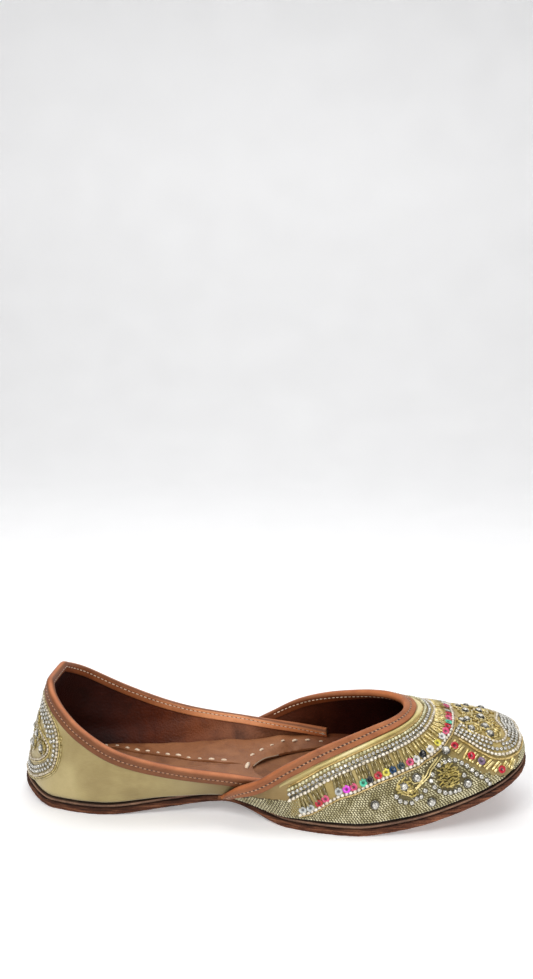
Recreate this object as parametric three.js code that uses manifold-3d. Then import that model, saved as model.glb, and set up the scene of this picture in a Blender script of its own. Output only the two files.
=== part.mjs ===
// Mojari shoe: a flat leather slip-on with an embroidered vamp, standing empty on its sole.
// Millimetres. +X runs from heel to toe, +Z is up, and the shoe is the same on both sides of y = 0.
// Every curved piece is worked out from the tables below and then moved so that the middle of the
// shoe's box stands over the origin, with the sole on z = 0.
import * as THREE from 'three';
import * as BufferGeometryUtils from 'three/addons/utils/BufferGeometryUtils.js';
import Module from 'manifold-3d';

const wasm = await Module();
wasm.setup();

// Driving sizes
const shoeLength = 253;
const gap = 0.3;
const outsoleThick = 3.4;
const midsoleThick = 1.3;
const flangeThick = 1.4;
const wall = 2.0;
const footbedThick = 1.6;
const sockThick = 1.0;
const bindingThick = 0.9;
const bindingGap = 0.4;
const bindingOuterLeg = 6.3;
const bindingInnerLeg = 5.0;
const soleMargin = 1.1;
const soleWaistInset = 6.8;
const soleWaistCentre = 106;
const soleWaistSpread = 26;
const midsoleInset = 0.5;
const flangeReach = 10;
const footbedInset = 5.8;
const footbedCoreInset = 12.5;
const sockInset = 6.4;
const toeNotch = 1.1;
const toeNotchSpread = 7;
const toeNotchFade = 16;
// The box of the whole shoe is centred on this x
const middle = 126.1;

// Heights of the stack above the underside of the sole
const midsoleLow = outsoleThick + gap;
const upperLow = midsoleLow + midsoleThick + gap;
const flangeTop = upperLow + flangeThick;
const footbedLow = flangeTop + gap;
const sockLow = footbedLow + footbedThick + gap;

function table(columns, rows) {
  return rows.map((row) => Object.fromEntries(columns.map((name, i) => [name, row[i]])));
}

// Sole stations, a row for each section: half width where upper meets sole, and height of the
// underside. Heel and ball rest on the floor, the waist arches and the toe springs up.
const SOLE = table(['x', 'halfWidth', 'under'], [
  [0, 0, 5.0],
  [5, 13.8, 3.0],
  [20, 26.7, 0],
  [46, 31.8, 0],
  [78, 29.7, 3.0],
  [106, 31.3, 5.3],
  [138, 40.2, 0],
  [168, 43.9, 0],
  [193, 40.5, 2.6],
  [218, 34.5, 8.8],
  [238, 27.5, 16.2],
  [248, 20.2, 21.8],
  [shoeLength, 0, 25.0],
]);

// Quarter, from the middle of the back to the end of the wing. Each row joins a point of the
// feather line (footX) to a point of the topline; belly swells the wall, inset tucks the wing
// inside the vamp.
const QUARTER = table(['footX', 'topX', 'topY', 'topZ', 'belly', 'inset'], [
  [0, 15.4, 0, 61.8, 0.8, 0],
  [1.6, 15.8, 11.0, 62.0, 1.0, 0],
  [5, 17.8, 17.6, 59.6, 1.5, 0],
  [13, 24.4, 26.4, 54.0, 2.0, 0],
  [28, 37.3, 34.0, 44.6, 2.0, 0],
  [52, 57.8, 38.2, 34.5, 1.5, 0],
  [82, 83.6, 37.4, 27.8, 1.0, 0],
  [111, 111.2, 36.4, 24.3, 0.8, 0.8],
  [139, 138.7, 35.0, 21.4, 0.8, 0.8],
  [158, 158.0, 33.4, 18.8, 0.8, 0.8],
]);

// Vamp, from its rear corner to the middle of the toe. The section leaves the feather line with a
// handle flare outward and rise up. It meets the topline with a handle that goes reach, a share of
// the way across to the foot, and drop down.
const VAMP = table(['footX', 'topX', 'topY', 'topZ', 'flare', 'rise', 'reach', 'drop'], [
  [101, 99.5, 33.2, 15.2, 0.8, 1.5, 0.33, 1.5],
  [111, 109.5, 38.6, 18.4, 2.6, 2.4, 0.25, 2.6],
  [125, 123.5, 41.6, 24.8, 3.2, 5.5, 0.15, 5.5],
  [140, 137.5, 39.6, 33.0, 2.6, 9.5, 0.60, 9.0],
  [155, 151.5, 34.8, 39.0, 2.2, 13.0, 0.45, 11.0],
  [173, 165.5, 28.6, 43.2, 2.0, 16.0, 0.48, 11.0],
  [189, 177.5, 22.1, 46.0, 2.0, 17.0, 0.58, 9.0],
  [204, 185.5, 16.6, 47.3, 2.0, 17.0, 0.60, 8.0],
  [224, 190.6, 10.5, 48.0, 2.0, 15.0, 0.62, 8.0],
  [245, 192.8, 5.2, 48.3, 2.0, 13.0, 0.57, 7.0],
  [shoeLength, 193.5, 0, 48.4, 2.0, 13.0, 0.54, 7.0],
]);

// Windows of the sock cover, from the waist stitch to their far ends
const HEEL_WINDOW = table(['x', 'halfWidth'], [
  [113, 0], [96, 7.8], [76, 14.0], [56, 18.0], [40, 20.4], [31, 19.0], [26, 14.0], [24, 6.0],
]);
const FORE_WINDOW = table(['x', 'halfWidth'], [
  [119, 0], [129, 8.0], [142, 16.8], [160, 26.5], [183, 33.0],
]);

// Counts of stations around each piece and of steps up the wall
const quarterStations = 54;
const vampStations = 60;
const wallSteps = 7;
const soleStations = 40;
// How finely a section is measured, and the small step that gives its directions
const lengthSteps = 20;
const depthSteps = 80;
const small = 0.002;
// A layer's first and last rows stand this angle in from the heel's and the toe's very tip
const tipAngle = 0.05;
// Inner points of the wall closer than this to the flange are left out
const flangeClearance = 1;
// The least wall left below the binding's outer leg, and how much shorter its inner leg then is
const bindingRoom = 0.4;
const bindingStep = 0.6;
// The binding's fold is pulled in this much where it turns over the edge
const foldRound = 0.1;
// The heel cup swells away from a centre this far in front of its topline, at most swellCentreMax
const swellCentreReach = 30;
const swellCentreMax = 60;
// The window cutters run from under the floor to above the shoe
const cutterLow = -5;
const cutterHigh = 55;

// Smooth curve through the rows of a table: a cubic through each pair, whose slopes never overshoot
function smoothCurve(keys, values) {
  const last = keys.length - 1;
  const chord = keys.slice(1).map((key, i) => (values[i + 1] - values[i]) / (key - keys[i]));
  const slope = values.map((_, i) => {
    if (i === 0) return chord[0];
    if (i === last) return chord[last - 1];
    const before = chord[i - 1];
    const after = chord[i];
    return before * after <= 0 ? 0 : (2 * before * after) / (before + after);
  });
  return (at) => {
    let i = 0;
    while (i < last - 1 && at > keys[i + 1]) i += 1;
    const step = keys[i + 1] - keys[i];
    const t = Math.min(1, Math.max(0, (at - keys[i]) / step));
    const a = values[i];
    const b = values[i + 1];
    const endA = slope[i] * step;
    const endB = slope[i + 1] * step;
    return a + t * (endA + t * (3 * (b - a) - 2 * endA - endB + t * (endA + endB - 2 * (b - a))));
  };
}

// The feather line is drawn by an angle that is 0 at the heel and pi at the toe
const angleAt = (x) => Math.acos(1 - (2 * x) / shoeLength);
const halfWidthAt = smoothCurve(SOLE.map((row) => angleAt(row.x)), SOLE.map((row) => row.halfWidth));
const underAt = smoothCurve(SOLE.map((row) => row.x), SOLE.map((row) => row.under));

// The toe's shallow notch pulls the outline back around y = 0, and fades away behind the toe
function notchAt(x, y) {
  return toeNotch * Math.exp(-((y / toeNotchSpread) ** 2)) * (x / shoeLength) ** toeNotchFade;
}

function placeOnSole(x, y, height) {
  const notched = x - notchAt(x, y);
  return new THREE.Vector3(notched, y, underAt(notched) + height);
}

// A point of the feather line, where upper meets sole, moved outward by grow
function feather(angle, grow = 0) {
  const x = (shoeLength * (1 - Math.cos(angle))) / 2 - grow * Math.cos(angle);
  const y = Math.max(halfWidthAt(angle) + grow * Math.sin(angle), 0);
  return { x, y };
}

// The sole is narrower than the upper at the waist: 1 in its middle, 0 away from it
const waist = (x) => Math.exp(-(((x - soleWaistCentre) / soleWaistSpread) ** 2));

// Mirror the rows of a half table, and read any column at a station from -1 to 1
function bothSides(rows) {
  const half = rows.map((row, i) => ({ ...row, station: i / (rows.length - 1), side: 1 }));
  const other = half.slice(1).reverse();
  const mirrored = other.map((row) => ({ ...row, station: -row.station, topY: -row.topY, side: -1 }));
  return [...mirrored, ...half];
}

// turn is the signed angle of the foot point, counted from the middle of the heel or of the toe
function reader(rows, columns, turnAt) {
  const full = bothSides(rows);
  const stations = full.map((row) => row.station);
  const curves = { turn: smoothCurve(stations, full.map((row) => row.side * turnAt(row.footX))) };
  for (const name of columns) {
    curves[name] = smoothCurve(stations, full.map((row) => row[name]));
  }
  return (station) => Object.fromEntries(Object.entries(curves).map(([name, f]) => [name, f(station)]));
}

function footPoint(angle, side, inset) {
  const { x, y } = feather(angle, -inset);
  return placeOnSole(x, Math.sign(side) * y, upperLow);
}

const heelFoot = (turn, inset) => footPoint(Math.abs(turn), turn, inset);
const toeFoot = (turn, inset) => footPoint(Math.PI - Math.abs(turn), turn, inset);

const level = (from, to) => new THREE.Vector3(to.x - from.x, to.y - from.y, 0);

// Outer face of the quarter: a straight lean from feather line to topline, swollen by the belly
const readQuarter = reader(QUARTER, ['topX', 'topY', 'topZ', 'belly', 'inset'], angleAt);
function quarterFace(station, v) {
  const row = readQuarter(station);
  const foot = heelFoot(row.turn, row.inset);
  const top = new THREE.Vector3(row.topX, row.topY, row.topZ);
  const centre = new THREE.Vector3(Math.min(swellCentreMax, row.topX + swellCentreReach), 0, 0);
  const swell = level(centre, foot).normalize().multiplyScalar(row.belly * 4 * v * (1 - v));
  return foot.lerp(top, v).add(swell);
}

// Outer face of the vamp: a cubic section from the feather line over to the throat. The table runs
// from the rear corner to the toe, so it is read back to front.
const vampColumns = ['topX', 'topY', 'topZ', 'flare', 'rise', 'reach', 'drop'];
const readVamp = reader([...VAMP].reverse(), vampColumns, (x) => Math.PI - angleAt(x));
function vampFace(station, v) {
  const row = readVamp(station);
  const foot = toeFoot(row.turn, 0);
  const top = new THREE.Vector3(row.topX, row.topY, row.topZ);
  const low = foot.clone().addScaledVector(level(toeFoot(row.turn, 1), foot).normalize(), row.flare);
  low.z += row.rise;
  const high = top.clone().addScaledVector(level(top, foot), row.reach);
  high.z -= row.drop;
  return new THREE.CubicBezierCurve3(foot, low, high, top).getPoint(v);
}

// A wall is a face with its outward normal, read by length along the section from the topline
function makeWall(face, flip) {
  const normal = (station, v) => {
    const low = Math.min(Math.max(v, small), 1 - small);
    const along = face(Math.min(station + small, 1), low).sub(face(Math.max(station - small, -1), low));
    const up = face(station, low + small).sub(face(station, low - small));
    return along.cross(up).normalize().multiplyScalar(flip);
  };
  const sectionLength = (station) => {
    let total = 0;
    for (let i = 0; i < lengthSteps; i += 1) {
      total += face(station, i / lengthSteps).distanceTo(face(station, (i + 1) / lengthSteps));
    }
    return total;
  };
  const vBelowTop = (station, depth) => {
    let left = depth;
    for (let i = depthSteps; i > 0; i -= 1) {
      const step = face(station, i / depthSteps).distanceTo(face(station, (i - 1) / depthSteps));
      if (step > left) return (i - left / step) / depthSteps;
      left -= step;
    }
    return 0;
  };
  const offset = (station, v, distance) => {
    return face(station, v).addScaledVector(normal(station, v), distance);
  };
  const upAtTop = (station) => face(station, 1).sub(face(station, 1 - small)).normalize();
  return { sectionLength, vBelowTop, offset, upAtTop };
}

const quarter = makeWall(quarterFace, -1);
const vamp = makeWall(vampFace, 1);

// Join equal loops of points into one closed body with flat ends
function sweep(loops) {
  const count = loops[0].length;
  const positions = [];
  const faces = [];
  for (const loop of loops) {
    for (const p of loop) positions.push(p.x, p.y, p.z);
  }
  for (let i = 0; i < loops.length - 1; i += 1) {
    for (let j = 0; j < count; j += 1) {
      const a = i * count + j;
      const b = i * count + ((j + 1) % count);
      faces.push(a, b, a + count, b, b + count, a + count);
    }
  }
  closeEnd(loops[0], 0, faces, true);
  closeEnd(loops[loops.length - 1], (loops.length - 1) * count, faces, false);
  return solid(positions, faces);
}

// Triangles across a planar end, seen in the plane of its own area vector
function closeEnd(loop, first, faces, reverse) {
  const area = new THREE.Vector3();
  loop.forEach((p, i) => area.add(p.clone().cross(loop[(i + 1) % loop.length])));
  const axis = area.normalize();
  const side = new THREE.Vector3().subVectors(loop[1], loop[0]).projectOnPlane(axis).normalize();
  const other = axis.clone().cross(side);
  const flat = loop.map((p) => new THREE.Vector2(p.dot(side), p.dot(other)));
  for (const [a, b, c] of THREE.ShapeUtils.triangulateShape(flat, [])) {
    faces.push(...(reverse ? [first + c, first + b, first + a] : [first + a, first + b, first + c]));
  }
}

function signedVolume(positions, faces) {
  const corner = (k) => new THREE.Vector3().fromArray(positions, faces[k] * 3);
  let volume = 0;
  for (let k = 0; k < faces.length; k += 3) {
    volume += corner(k).dot(corner(k + 1).cross(corner(k + 2))) / 6;
  }
  return volume;
}

function solid(positions, faces) {
  const outwardFaces = signedVolume(positions, faces) > 0 ? faces : [...faces].reverse();
  const geometry = new THREE.BufferGeometry();
  geometry.setAttribute('position', new THREE.Float32BufferAttribute(positions, 3));
  geometry.setIndex(outwardFaces);
  return toManifold(geometry);
}

function toManifold(geometry) {
  const bare = geometry.clone();
  bare.deleteAttribute('normal');
  bare.deleteAttribute('uv');
  const merged = BufferGeometryUtils.mergeVertices(bare, 1e-4);
  return new wasm.Manifold(new wasm.Mesh({
    numProp: 3,
    vertProperties: new Float32Array(merged.attributes.position.array),
    triVerts: new Uint32Array(merged.index.array),
  }));
}

function toGeometry(body) {
  const mesh = body.getMesh();
  const geometry = new THREE.BufferGeometry();
  geometry.setAttribute('position', new THREE.Float32BufferAttribute(mesh.vertProperties, 3));
  geometry.setIndex(Array.from(mesh.triVerts));
  return geometry;
}

const largest = (body) => body.decompose().sort((a, b) => b.volume() - a.volume())[0];
const spread = (count) => Array.from({ length: count + 1 }, (_, i) => -1 + (2 * i) / count);

// One section of the upper: the wall's outer face, its rim under the binding, its inner face and the
// flange that turns in between midsole and footbed. A cutter is the same section grown all round.
function upperLoop(wallOf, station, foot, inset, grow) {
  const rim = grow > 0 ? 1 : wallOf.vBelowTop(station, bindingThick + bindingGap);
  const outer = [];
  const inner = [];
  for (let i = 0; i <= wallSteps; i += 1) {
    const v = (rim * i) / wallSteps;
    outer.push(wallOf.offset(station, v, grow));
    inner.push(wallOf.offset(station, v, -wall - grow));
  }
  outer[wallSteps].addScaledVector(wallOf.upAtTop(station), grow);
  inner[wallSteps].addScaledVector(wallOf.upAtTop(station), grow);
  outer[0] = foot(inset - grow);
  outer[0].z -= grow;
  const flange = (reach, height) => foot(inset + reach).add(new THREE.Vector3(0, 0, height));
  const under = [flangeReach, flangeReach / 2].map((reach) => flange(reach, -grow));
  const over = [wall + grow, flangeReach / 2, flangeReach].map((reach) => flange(reach, flangeThick + grow));
  const lowInner = inner.filter((p, i) => i > 0 && p.z > over[0].z + flangeClearance);
  return [...under, ...outer, ...lowInner.reverse(), ...over];
}

// Sections must hold equal counts, so inner points lost to the flange are put back on the way down
function evenLoops(loops) {
  const count = Math.max(...loops.map((loop) => loop.length));
  return loops.map((loop) => {
    const full = [...loop];
    while (full.length < count) {
      const end = full.length - 3;
      full.splice(end, 0, full[end - 1].clone().lerp(full[end], 0.5));
    }
    return full;
  });
}

function quarterBody(grow = 0) {
  const loops = spread(quarterStations).map((station) => {
    const { turn, inset } = readQuarter(station);
    return upperLoop(quarter, station, (reach) => heelFoot(turn, reach), inset, grow);
  });
  return sweep(evenLoops(loops));
}

function vampBody(grow = 0) {
  const loops = spread(vampStations).map((station) => {
    const { turn } = readVamp(station);
    return upperLoop(vamp, station, (reach) => toeFoot(turn, reach), 0, grow);
  });
  return sweep(evenLoops(loops));
}

// A folded strip of leather over the edge of a wall: outer leg, rounded fold, inner leg. It uses the
// same stations as the wall, less the few at each end that are too low for it.
function bindingBody(wallOf, stations, skip) {
  const face = bindingGap + bindingThick;
  const loops = spread(stations).slice(skip, stations + 1 - skip).map((station) => {
    const room = wallOf.sectionLength(station) - bindingRoom;
    const outerLeg = Math.min(bindingOuterLeg, room);
    const innerLeg = Math.min(bindingInnerLeg, room - bindingStep);
    const at = (depth, distance) => wallOf.offset(station, wallOf.vBelowTop(station, depth), distance);
    return [
      at(outerLeg, bindingGap),
      at(outerLeg, face),
      at(outerLeg / 2, face),
      at(bindingThick, face - foldRound),
      at(0, 0),
      at(0, -wall),
      at(bindingThick, -wall - face + foldRound),
      at(innerLeg / 2, -wall - face),
      at(innerLeg, -wall - face),
      at(innerLeg, -wall - bindingGap),
      at(innerLeg / 2, -wall - bindingGap),
      at(bindingThick, -wall - bindingGap),
      at(bindingThick, bindingGap),
      at(outerLeg / 2, bindingGap),
    ];
  });
  return sweep(loops);
}

// A layer of the sole or the insole. It follows the arch and the toe spring, and each row across it
// has the given shares of the half width.
function layer(outline, low, high, shares) {
  const loops = [];
  for (let i = 0; i <= soleStations; i += 1) {
    const angle = tipAngle + ((Math.PI - 2 * tipAngle) * i) / soleStations;
    const { x, y } = outline(angle);
    const row = (height) => shares.map((share) => placeOnSole(x, y * share, height));
    loops.push([...row(low), ...row(high).reverse()]);
  }
  return sweep(loops);
}

function soleOutline(inset) {
  return (angle) => {
    const { x, y } = feather(angle, soleMargin - inset);
    return { x, y: y - soleWaistInset * waist(x) };
  };
}

const insideOutline = (inset) => (angle) => feather(angle, -inset);
// Shares of the half width across a layer: two edges, or more points where the toe's notch shows
const plainRow = [-1, 1];
const notchedRow = [-1, -0.45, 0, 0.45, 1];

// Upright cutter for a window: the outline mirrored across y = 0
function windowCutter(rows) {
  const shape = new THREE.Shape();
  shape.moveTo(rows[0].x, 0);
  rows.slice(1).forEach((row) => shape.lineTo(row.x, row.halfWidth));
  [...rows].slice(1).reverse().forEach((row) => shape.lineTo(row.x, -row.halfWidth));
  shape.closePath();
  const geometry = new THREE.ExtrudeGeometry(shape, { depth: cutterHigh - cutterLow, bevelEnabled: false });
  geometry.translate(0, 0, cutterLow);
  return toManifold(geometry);
}

function makeUpper() {
  return quarterBody().add(vampBody());
}

function makeFootbed() {
  const board = layer(insideOutline(footbedInset), footbedLow, footbedLow + footbedThick, plainRow);
  const core = layer(insideOutline(footbedCoreInset), upperLow, footbedLow + footbedThick / 2, plainRow);
  return board.add(core);
}

function makeSockCover() {
  const sheet = layer(insideOutline(sockInset), sockLow, sockLow + sockThick, plainRow);
  return sheet.subtract(windowCutter(HEEL_WINDOW)).subtract(windowCutter(FORE_WINDOW));
}

// Where a wing passes inside the vamp, each binding is trimmed clear of the other side's wall
function makeQuarterBinding() {
  const clear = gap + bindingGap + bindingThick;
  return largest(bindingBody(quarter, quarterStations, 0).subtract(vampBody(clear)));
}

function makeVampBinding() {
  return largest(bindingBody(vamp, vampStations, 1).subtract(quarterBody(gap)));
}

const PIECES = [
  { name: 'outsole', color: 0x7a4a32, body: () => layer(soleOutline(0), 0, outsoleThick, notchedRow) },
  {
    name: 'midsole',
    color: 0x8c5a3e,
    body: () => layer(soleOutline(midsoleInset), midsoleLow, midsoleLow + midsoleThick, notchedRow),
  },
  { name: 'upper', color: 0xb8a873, body: makeUpper },
  { name: 'footbed', color: 0x6b3f28, body: makeFootbed },
  { name: 'sock_cover', color: 0x74452c, body: makeSockCover },
  { name: 'quarter_binding', color: 0xb0683f, body: makeQuarterBinding },
  { name: 'vamp_binding', color: 0xb0683f, body: makeVampBinding },
];

const shoe = new THREE.Group();
for (const { name, color, body } of PIECES) {
  const material = new THREE.MeshStandardMaterial({ color, roughness: 0.7, metalness: 0 });
  const mesh = new THREE.Mesh(toGeometry(body()), material);
  mesh.name = name;
  shoe.add(mesh);
}
shoe.position.x = -middle;

export default shoe;
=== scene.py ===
"""Mojari shoe: the looks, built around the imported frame.

Shapes are worked out in the shoe's own millimetres, x from the heel to the toe, and moved to the
row frame in metres when a mesh is made. The near side of the shoe is -y, and both sides are alike.
"""
import math

import bpy
import numpy as np
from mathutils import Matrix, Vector
from mathutils.bvhtree import BVHTree


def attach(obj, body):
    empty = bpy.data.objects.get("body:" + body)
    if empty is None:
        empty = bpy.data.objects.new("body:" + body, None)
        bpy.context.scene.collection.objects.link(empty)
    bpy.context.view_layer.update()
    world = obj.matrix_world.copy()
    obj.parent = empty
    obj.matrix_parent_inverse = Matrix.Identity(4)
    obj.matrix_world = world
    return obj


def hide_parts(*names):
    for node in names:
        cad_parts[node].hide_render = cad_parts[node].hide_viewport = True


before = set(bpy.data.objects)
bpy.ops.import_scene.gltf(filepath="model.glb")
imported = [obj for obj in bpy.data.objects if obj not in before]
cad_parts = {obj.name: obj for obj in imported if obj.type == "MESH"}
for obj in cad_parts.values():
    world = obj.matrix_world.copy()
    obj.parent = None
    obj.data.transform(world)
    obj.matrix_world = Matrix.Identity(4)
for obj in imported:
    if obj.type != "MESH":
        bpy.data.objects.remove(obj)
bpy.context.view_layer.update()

# Driving sizes, as in the part
MM = 0.001
LENGTH = 253.0
MIDDLE = 126.1
GAP = 0.3
OUTSOLE_THICK = 3.4
MIDSOLE_THICK = 1.3
WALL = 2.0
FOOTBED_THICK = 1.6
SOCK_THICK = 1.0
BINDING_THICK = 0.9
BINDING_OUTER_LEG = 6.3
BINDING_INNER_LEG = 5.0
FLANGE_THICK = 1.4
SOLE_MARGIN = 1.1
WAIST_INSET = 6.8
WAIST_CENTRE = 106
WAIST_SPREAD = 26
FOOTBED_INSET = 5.8
SOCK_INSET = 6.4
TOE_NOTCH = 1.1
NOTCH_SPREAD = 7
NOTCH_FADE = 16
MIDSOLE_LOW = OUTSOLE_THICK + GAP
UPPER_LOW = MIDSOLE_LOW + MIDSOLE_THICK + GAP
FOOTBED_LOW = UPPER_LOW + FLANGE_THICK + GAP
SOCK_LOW = FOOTBED_LOW + FOOTBED_THICK + GAP

# Sole stations: x, half width where upper meets sole, height of the underside
SOLE = [
    (0, 0, 5.0), (5, 13.8, 3.0), (20, 26.7, 0), (46, 31.8, 0), (78, 29.7, 3.0), (106, 31.3, 5.3),
    (138, 40.2, 0), (168, 43.9, 0), (193, 40.5, 2.6), (218, 34.5, 8.8), (238, 27.5, 16.2),
    (248, 20.2, 21.8), (LENGTH, 0, 25.0),
]

# Quarter, from the middle of the back to the end of the wing
QUARTER_COLUMNS = ("turn", "top_x", "top_y", "top_z", "belly", "inset")
QUARTER = [
    (0, 15.4, 0, 61.8, 0.8, 0), (1.6, 15.8, 11.0, 62.0, 1.0, 0), (5, 17.8, 17.6, 59.6, 1.5, 0),
    (13, 24.4, 26.4, 54.0, 2.0, 0), (28, 37.3, 34.0, 44.6, 2.0, 0), (52, 57.8, 38.2, 34.5, 1.5, 0),
    (82, 83.6, 37.4, 27.8, 1.0, 0), (111, 111.2, 36.4, 24.3, 0.8, 0.8),
    (139, 138.7, 35.0, 21.4, 0.8, 0.8), (158, 158.0, 33.4, 18.8, 0.8, 0.8),
]

# Vamp, from its rear corner to the middle of the toe
VAMP_COLUMNS = ("turn", "top_x", "top_y", "top_z", "flare", "rise", "reach", "drop")
VAMP = [
    (101, 99.5, 33.2, 15.2, 0.8, 1.5, 0.33, 1.5), (111, 109.5, 38.6, 18.4, 2.6, 2.4, 0.25, 2.6),
    (125, 123.5, 41.6, 24.8, 3.2, 5.5, 0.15, 5.5), (140, 137.5, 39.6, 33.0, 2.6, 9.5, 0.60, 9.0),
    (155, 151.5, 34.8, 39.0, 2.2, 13.0, 0.45, 11.0), (173, 165.5, 28.6, 43.2, 2.0, 16.0, 0.48, 11.0),
    (189, 177.5, 22.1, 46.0, 2.0, 17.0, 0.58, 9.0), (204, 185.5, 16.6, 47.3, 2.0, 17.0, 0.60, 8.0),
    (224, 190.6, 10.5, 48.0, 2.0, 15.0, 0.62, 8.0), (245, 192.8, 5.2, 48.3, 2.0, 13.0, 0.57, 7.0),
    (LENGTH, 193.5, 0, 48.4, 2.0, 13.0, 0.54, 7.0),
]


def smooth_curve(keys, values):
    """A cubic through each pair of rows, whose slopes never overshoot."""
    keys = np.asarray(keys, float)
    values = np.asarray(values, float)
    chord = np.diff(values) / np.diff(keys)
    before, after = chord[:-1], chord[1:]
    alike = before * after > 0
    total = np.where(alike, before + after, 1.0)
    mean = np.where(alike, 2 * before * after / total, 0.0)
    slope = np.concatenate([chord[:1], mean, chord[-1:]])

    def curve(at):
        i = np.clip(np.searchsorted(keys, at, side="right") - 1, 0, len(keys) - 2)
        step = keys[i + 1] - keys[i]
        t = np.clip((at - keys[i]) / step, 0, 1)
        a, b = values[i], values[i + 1]
        end_a, end_b = slope[i] * step, slope[i + 1] * step
        return a + t * (end_a + t * (3 * (b - a) - 2 * end_a - end_b + t * (end_a + end_b - 2 * (b - a))))

    return curve


def angle_at(x):
    return np.arccos(np.clip(1 - 2 * np.asarray(x, float) / LENGTH, -1, 1))


half_width_at = smooth_curve([angle_at(row[0]) for row in SOLE], [row[1] for row in SOLE])
under_at = smooth_curve([row[0] for row in SOLE], [row[2] for row in SOLE])


def notch_at(x, y):
    """The toe's shallow notch pulls the outline back around y = 0."""
    return TOE_NOTCH * np.exp(-((y / NOTCH_SPREAD) ** 2)) * (np.maximum(x, 0) / LENGTH) ** NOTCH_FADE


def place_on_sole(x, y, height):
    x, y, height = np.broadcast_arrays(np.asarray(x, float), y, height)
    notched = x - notch_at(x, y)
    return np.stack([notched, y, under_at(notched) + height], -1)


def feather(angle, grow=0.0):
    """A point of the line where upper meets sole, moved outward by grow."""
    x = LENGTH * (1 - np.cos(angle)) / 2 - grow * np.cos(angle)
    y = np.maximum(half_width_at(angle) + grow * np.sin(angle), 0)
    return x, y


def unit(v):
    return v / np.maximum(np.linalg.norm(v, axis=-1, keepdims=True), 1e-9)


def level(start, end):
    across = end - start
    across[..., 2] = 0
    return across


def smooth_step(low, high, at):
    t = np.clip((at - low) / (high - low), 0, 1)
    return t * t * (3 - 2 * t)


def reader(columns, rows, turn_of):
    """Reads each column of a half table at a station from -1 to 1. turn is the foot's signed angle."""
    last = len(rows) - 1
    stations = np.arange(-last, last + 1) / last
    curves = {}
    for column, name in enumerate(columns):
        half = np.array([row[column] for row in rows], float)
        if name == "turn":
            half = turn_of(half)
        sign = -1 if name in ("turn", "top_y") else 1
        curves[name] = smooth_curve(stations, np.concatenate([sign * half[:0:-1], half]))
    return lambda station: {name: curve(station) for name, curve in curves.items()}


read_quarter = reader(QUARTER_COLUMNS, QUARTER, angle_at)
read_vamp = reader(VAMP_COLUMNS, VAMP[::-1], lambda x: np.pi - angle_at(x))


def foot_point(angle, turn, inset):
    x, y = feather(angle, -inset)
    return place_on_sole(x, np.sign(turn) * y, UPPER_LOW)


def heel_foot(turn, inset):
    return foot_point(np.abs(turn), turn, inset)


def toe_foot(turn, inset):
    return foot_point(np.pi - np.abs(turn), turn, inset)


def quarter_face(station, v):
    """Outer face of the quarter: a straight lean from feather line to topline, swollen a little."""
    station, v = np.broadcast_arrays(np.asarray(station, float), np.asarray(v, float))
    row = read_quarter(station)
    foot = heel_foot(row["turn"], row["inset"])
    top = np.stack([row["top_x"], row["top_y"], row["top_z"]], -1)
    centre = np.stack([np.minimum(60, row["top_x"] + 30), 0 * station, 0 * station], -1)
    swell = unit(level(centre, foot)) * (row["belly"] * 4 * v * (1 - v))[..., None]
    return foot + (top - foot) * v[..., None] + swell


def vamp_face(station, v):
    """Outer face of the vamp: a cubic section from the feather line over to the throat."""
    station, v = np.broadcast_arrays(np.asarray(station, float), np.asarray(v, float))
    row = read_vamp(station)
    foot = toe_foot(row["turn"], 0)
    top = np.stack([row["top_x"], row["top_y"], row["top_z"]], -1)
    low = foot + unit(level(toe_foot(row["turn"], 1), foot)) * row["flare"][..., None]
    low[..., 2] += row["rise"]
    high = top + level(top, foot) * row["reach"][..., None]
    high[..., 2] -= row["drop"]
    v = v[..., None]
    u = 1 - v
    return u**3 * foot + 3 * u**2 * v * low + 3 * u * v**2 * high + v**3 * top


class Wall:
    """A face of the upper, read by station and by v, which is 0 at the foot and 1 at the topline."""

    STEP = 0.002
    SAMPLES = 81

    def __init__(self, face, flip, foot, turns, inset=None):
        self.face = face
        self.flip = flip
        self.foot = lambda station, reach: foot(turns(station)["turn"], reach)
        self.inset = inset or (lambda station: 0 * station)

    def normal(self, station, v):
        v = np.clip(v, self.STEP, 1 - self.STEP)
        ahead = self.face(np.minimum(station + self.STEP, 1), v)
        behind = self.face(np.maximum(station - self.STEP, -1), v)
        up = self.face(station, v + self.STEP) - self.face(station, v - self.STEP)
        return unit(np.cross(ahead - behind, up)) * self.flip

    def offset(self, station, v, distance):
        station, v, distance = np.broadcast_arrays(station, v, np.asarray(distance, float))
        return self.face(station, v) + self.normal(station, v) * distance[..., None]

    def depths(self, station):
        """Length down the section from the topline, for SAMPLES values of v from 1 to 0."""
        v = np.linspace(1, 0, self.SAMPLES)
        line = self.face(np.asarray(station, float)[..., None], v)
        steps = np.linalg.norm(np.diff(line, axis=-2), axis=-1)
        return v, np.concatenate([0 * steps[..., :1], np.cumsum(steps, -1)], -1)

    def v_below_top(self, station, depth):
        station, depth = np.broadcast_arrays(np.asarray(station, float), np.asarray(depth, float))
        v, run = self.depths(station.ravel())
        found = [np.interp(d, r, v) for d, r in zip(depth.ravel(), run)]
        return np.array(found).reshape(station.shape)

    def depth_at(self, station, v):
        table, run = self.depths(station.ravel())
        found = [np.interp(at, table[::-1], line[::-1]) for at, line in zip(v.ravel(), run)]
        return np.array(found).reshape(v.shape)

    def section_length(self, station):
        return self.depths(station)[1][..., -1]

    def below_top(self, station, depth, distance=0.0):
        return self.offset(station, self.v_below_top(station, depth), distance)


quarter = Wall(quarter_face, -1, heel_foot, read_quarter, lambda station: read_quarter(station)["inset"])
vamp = Wall(vamp_face, 1, toe_foot, read_vamp)


# Meshes

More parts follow.
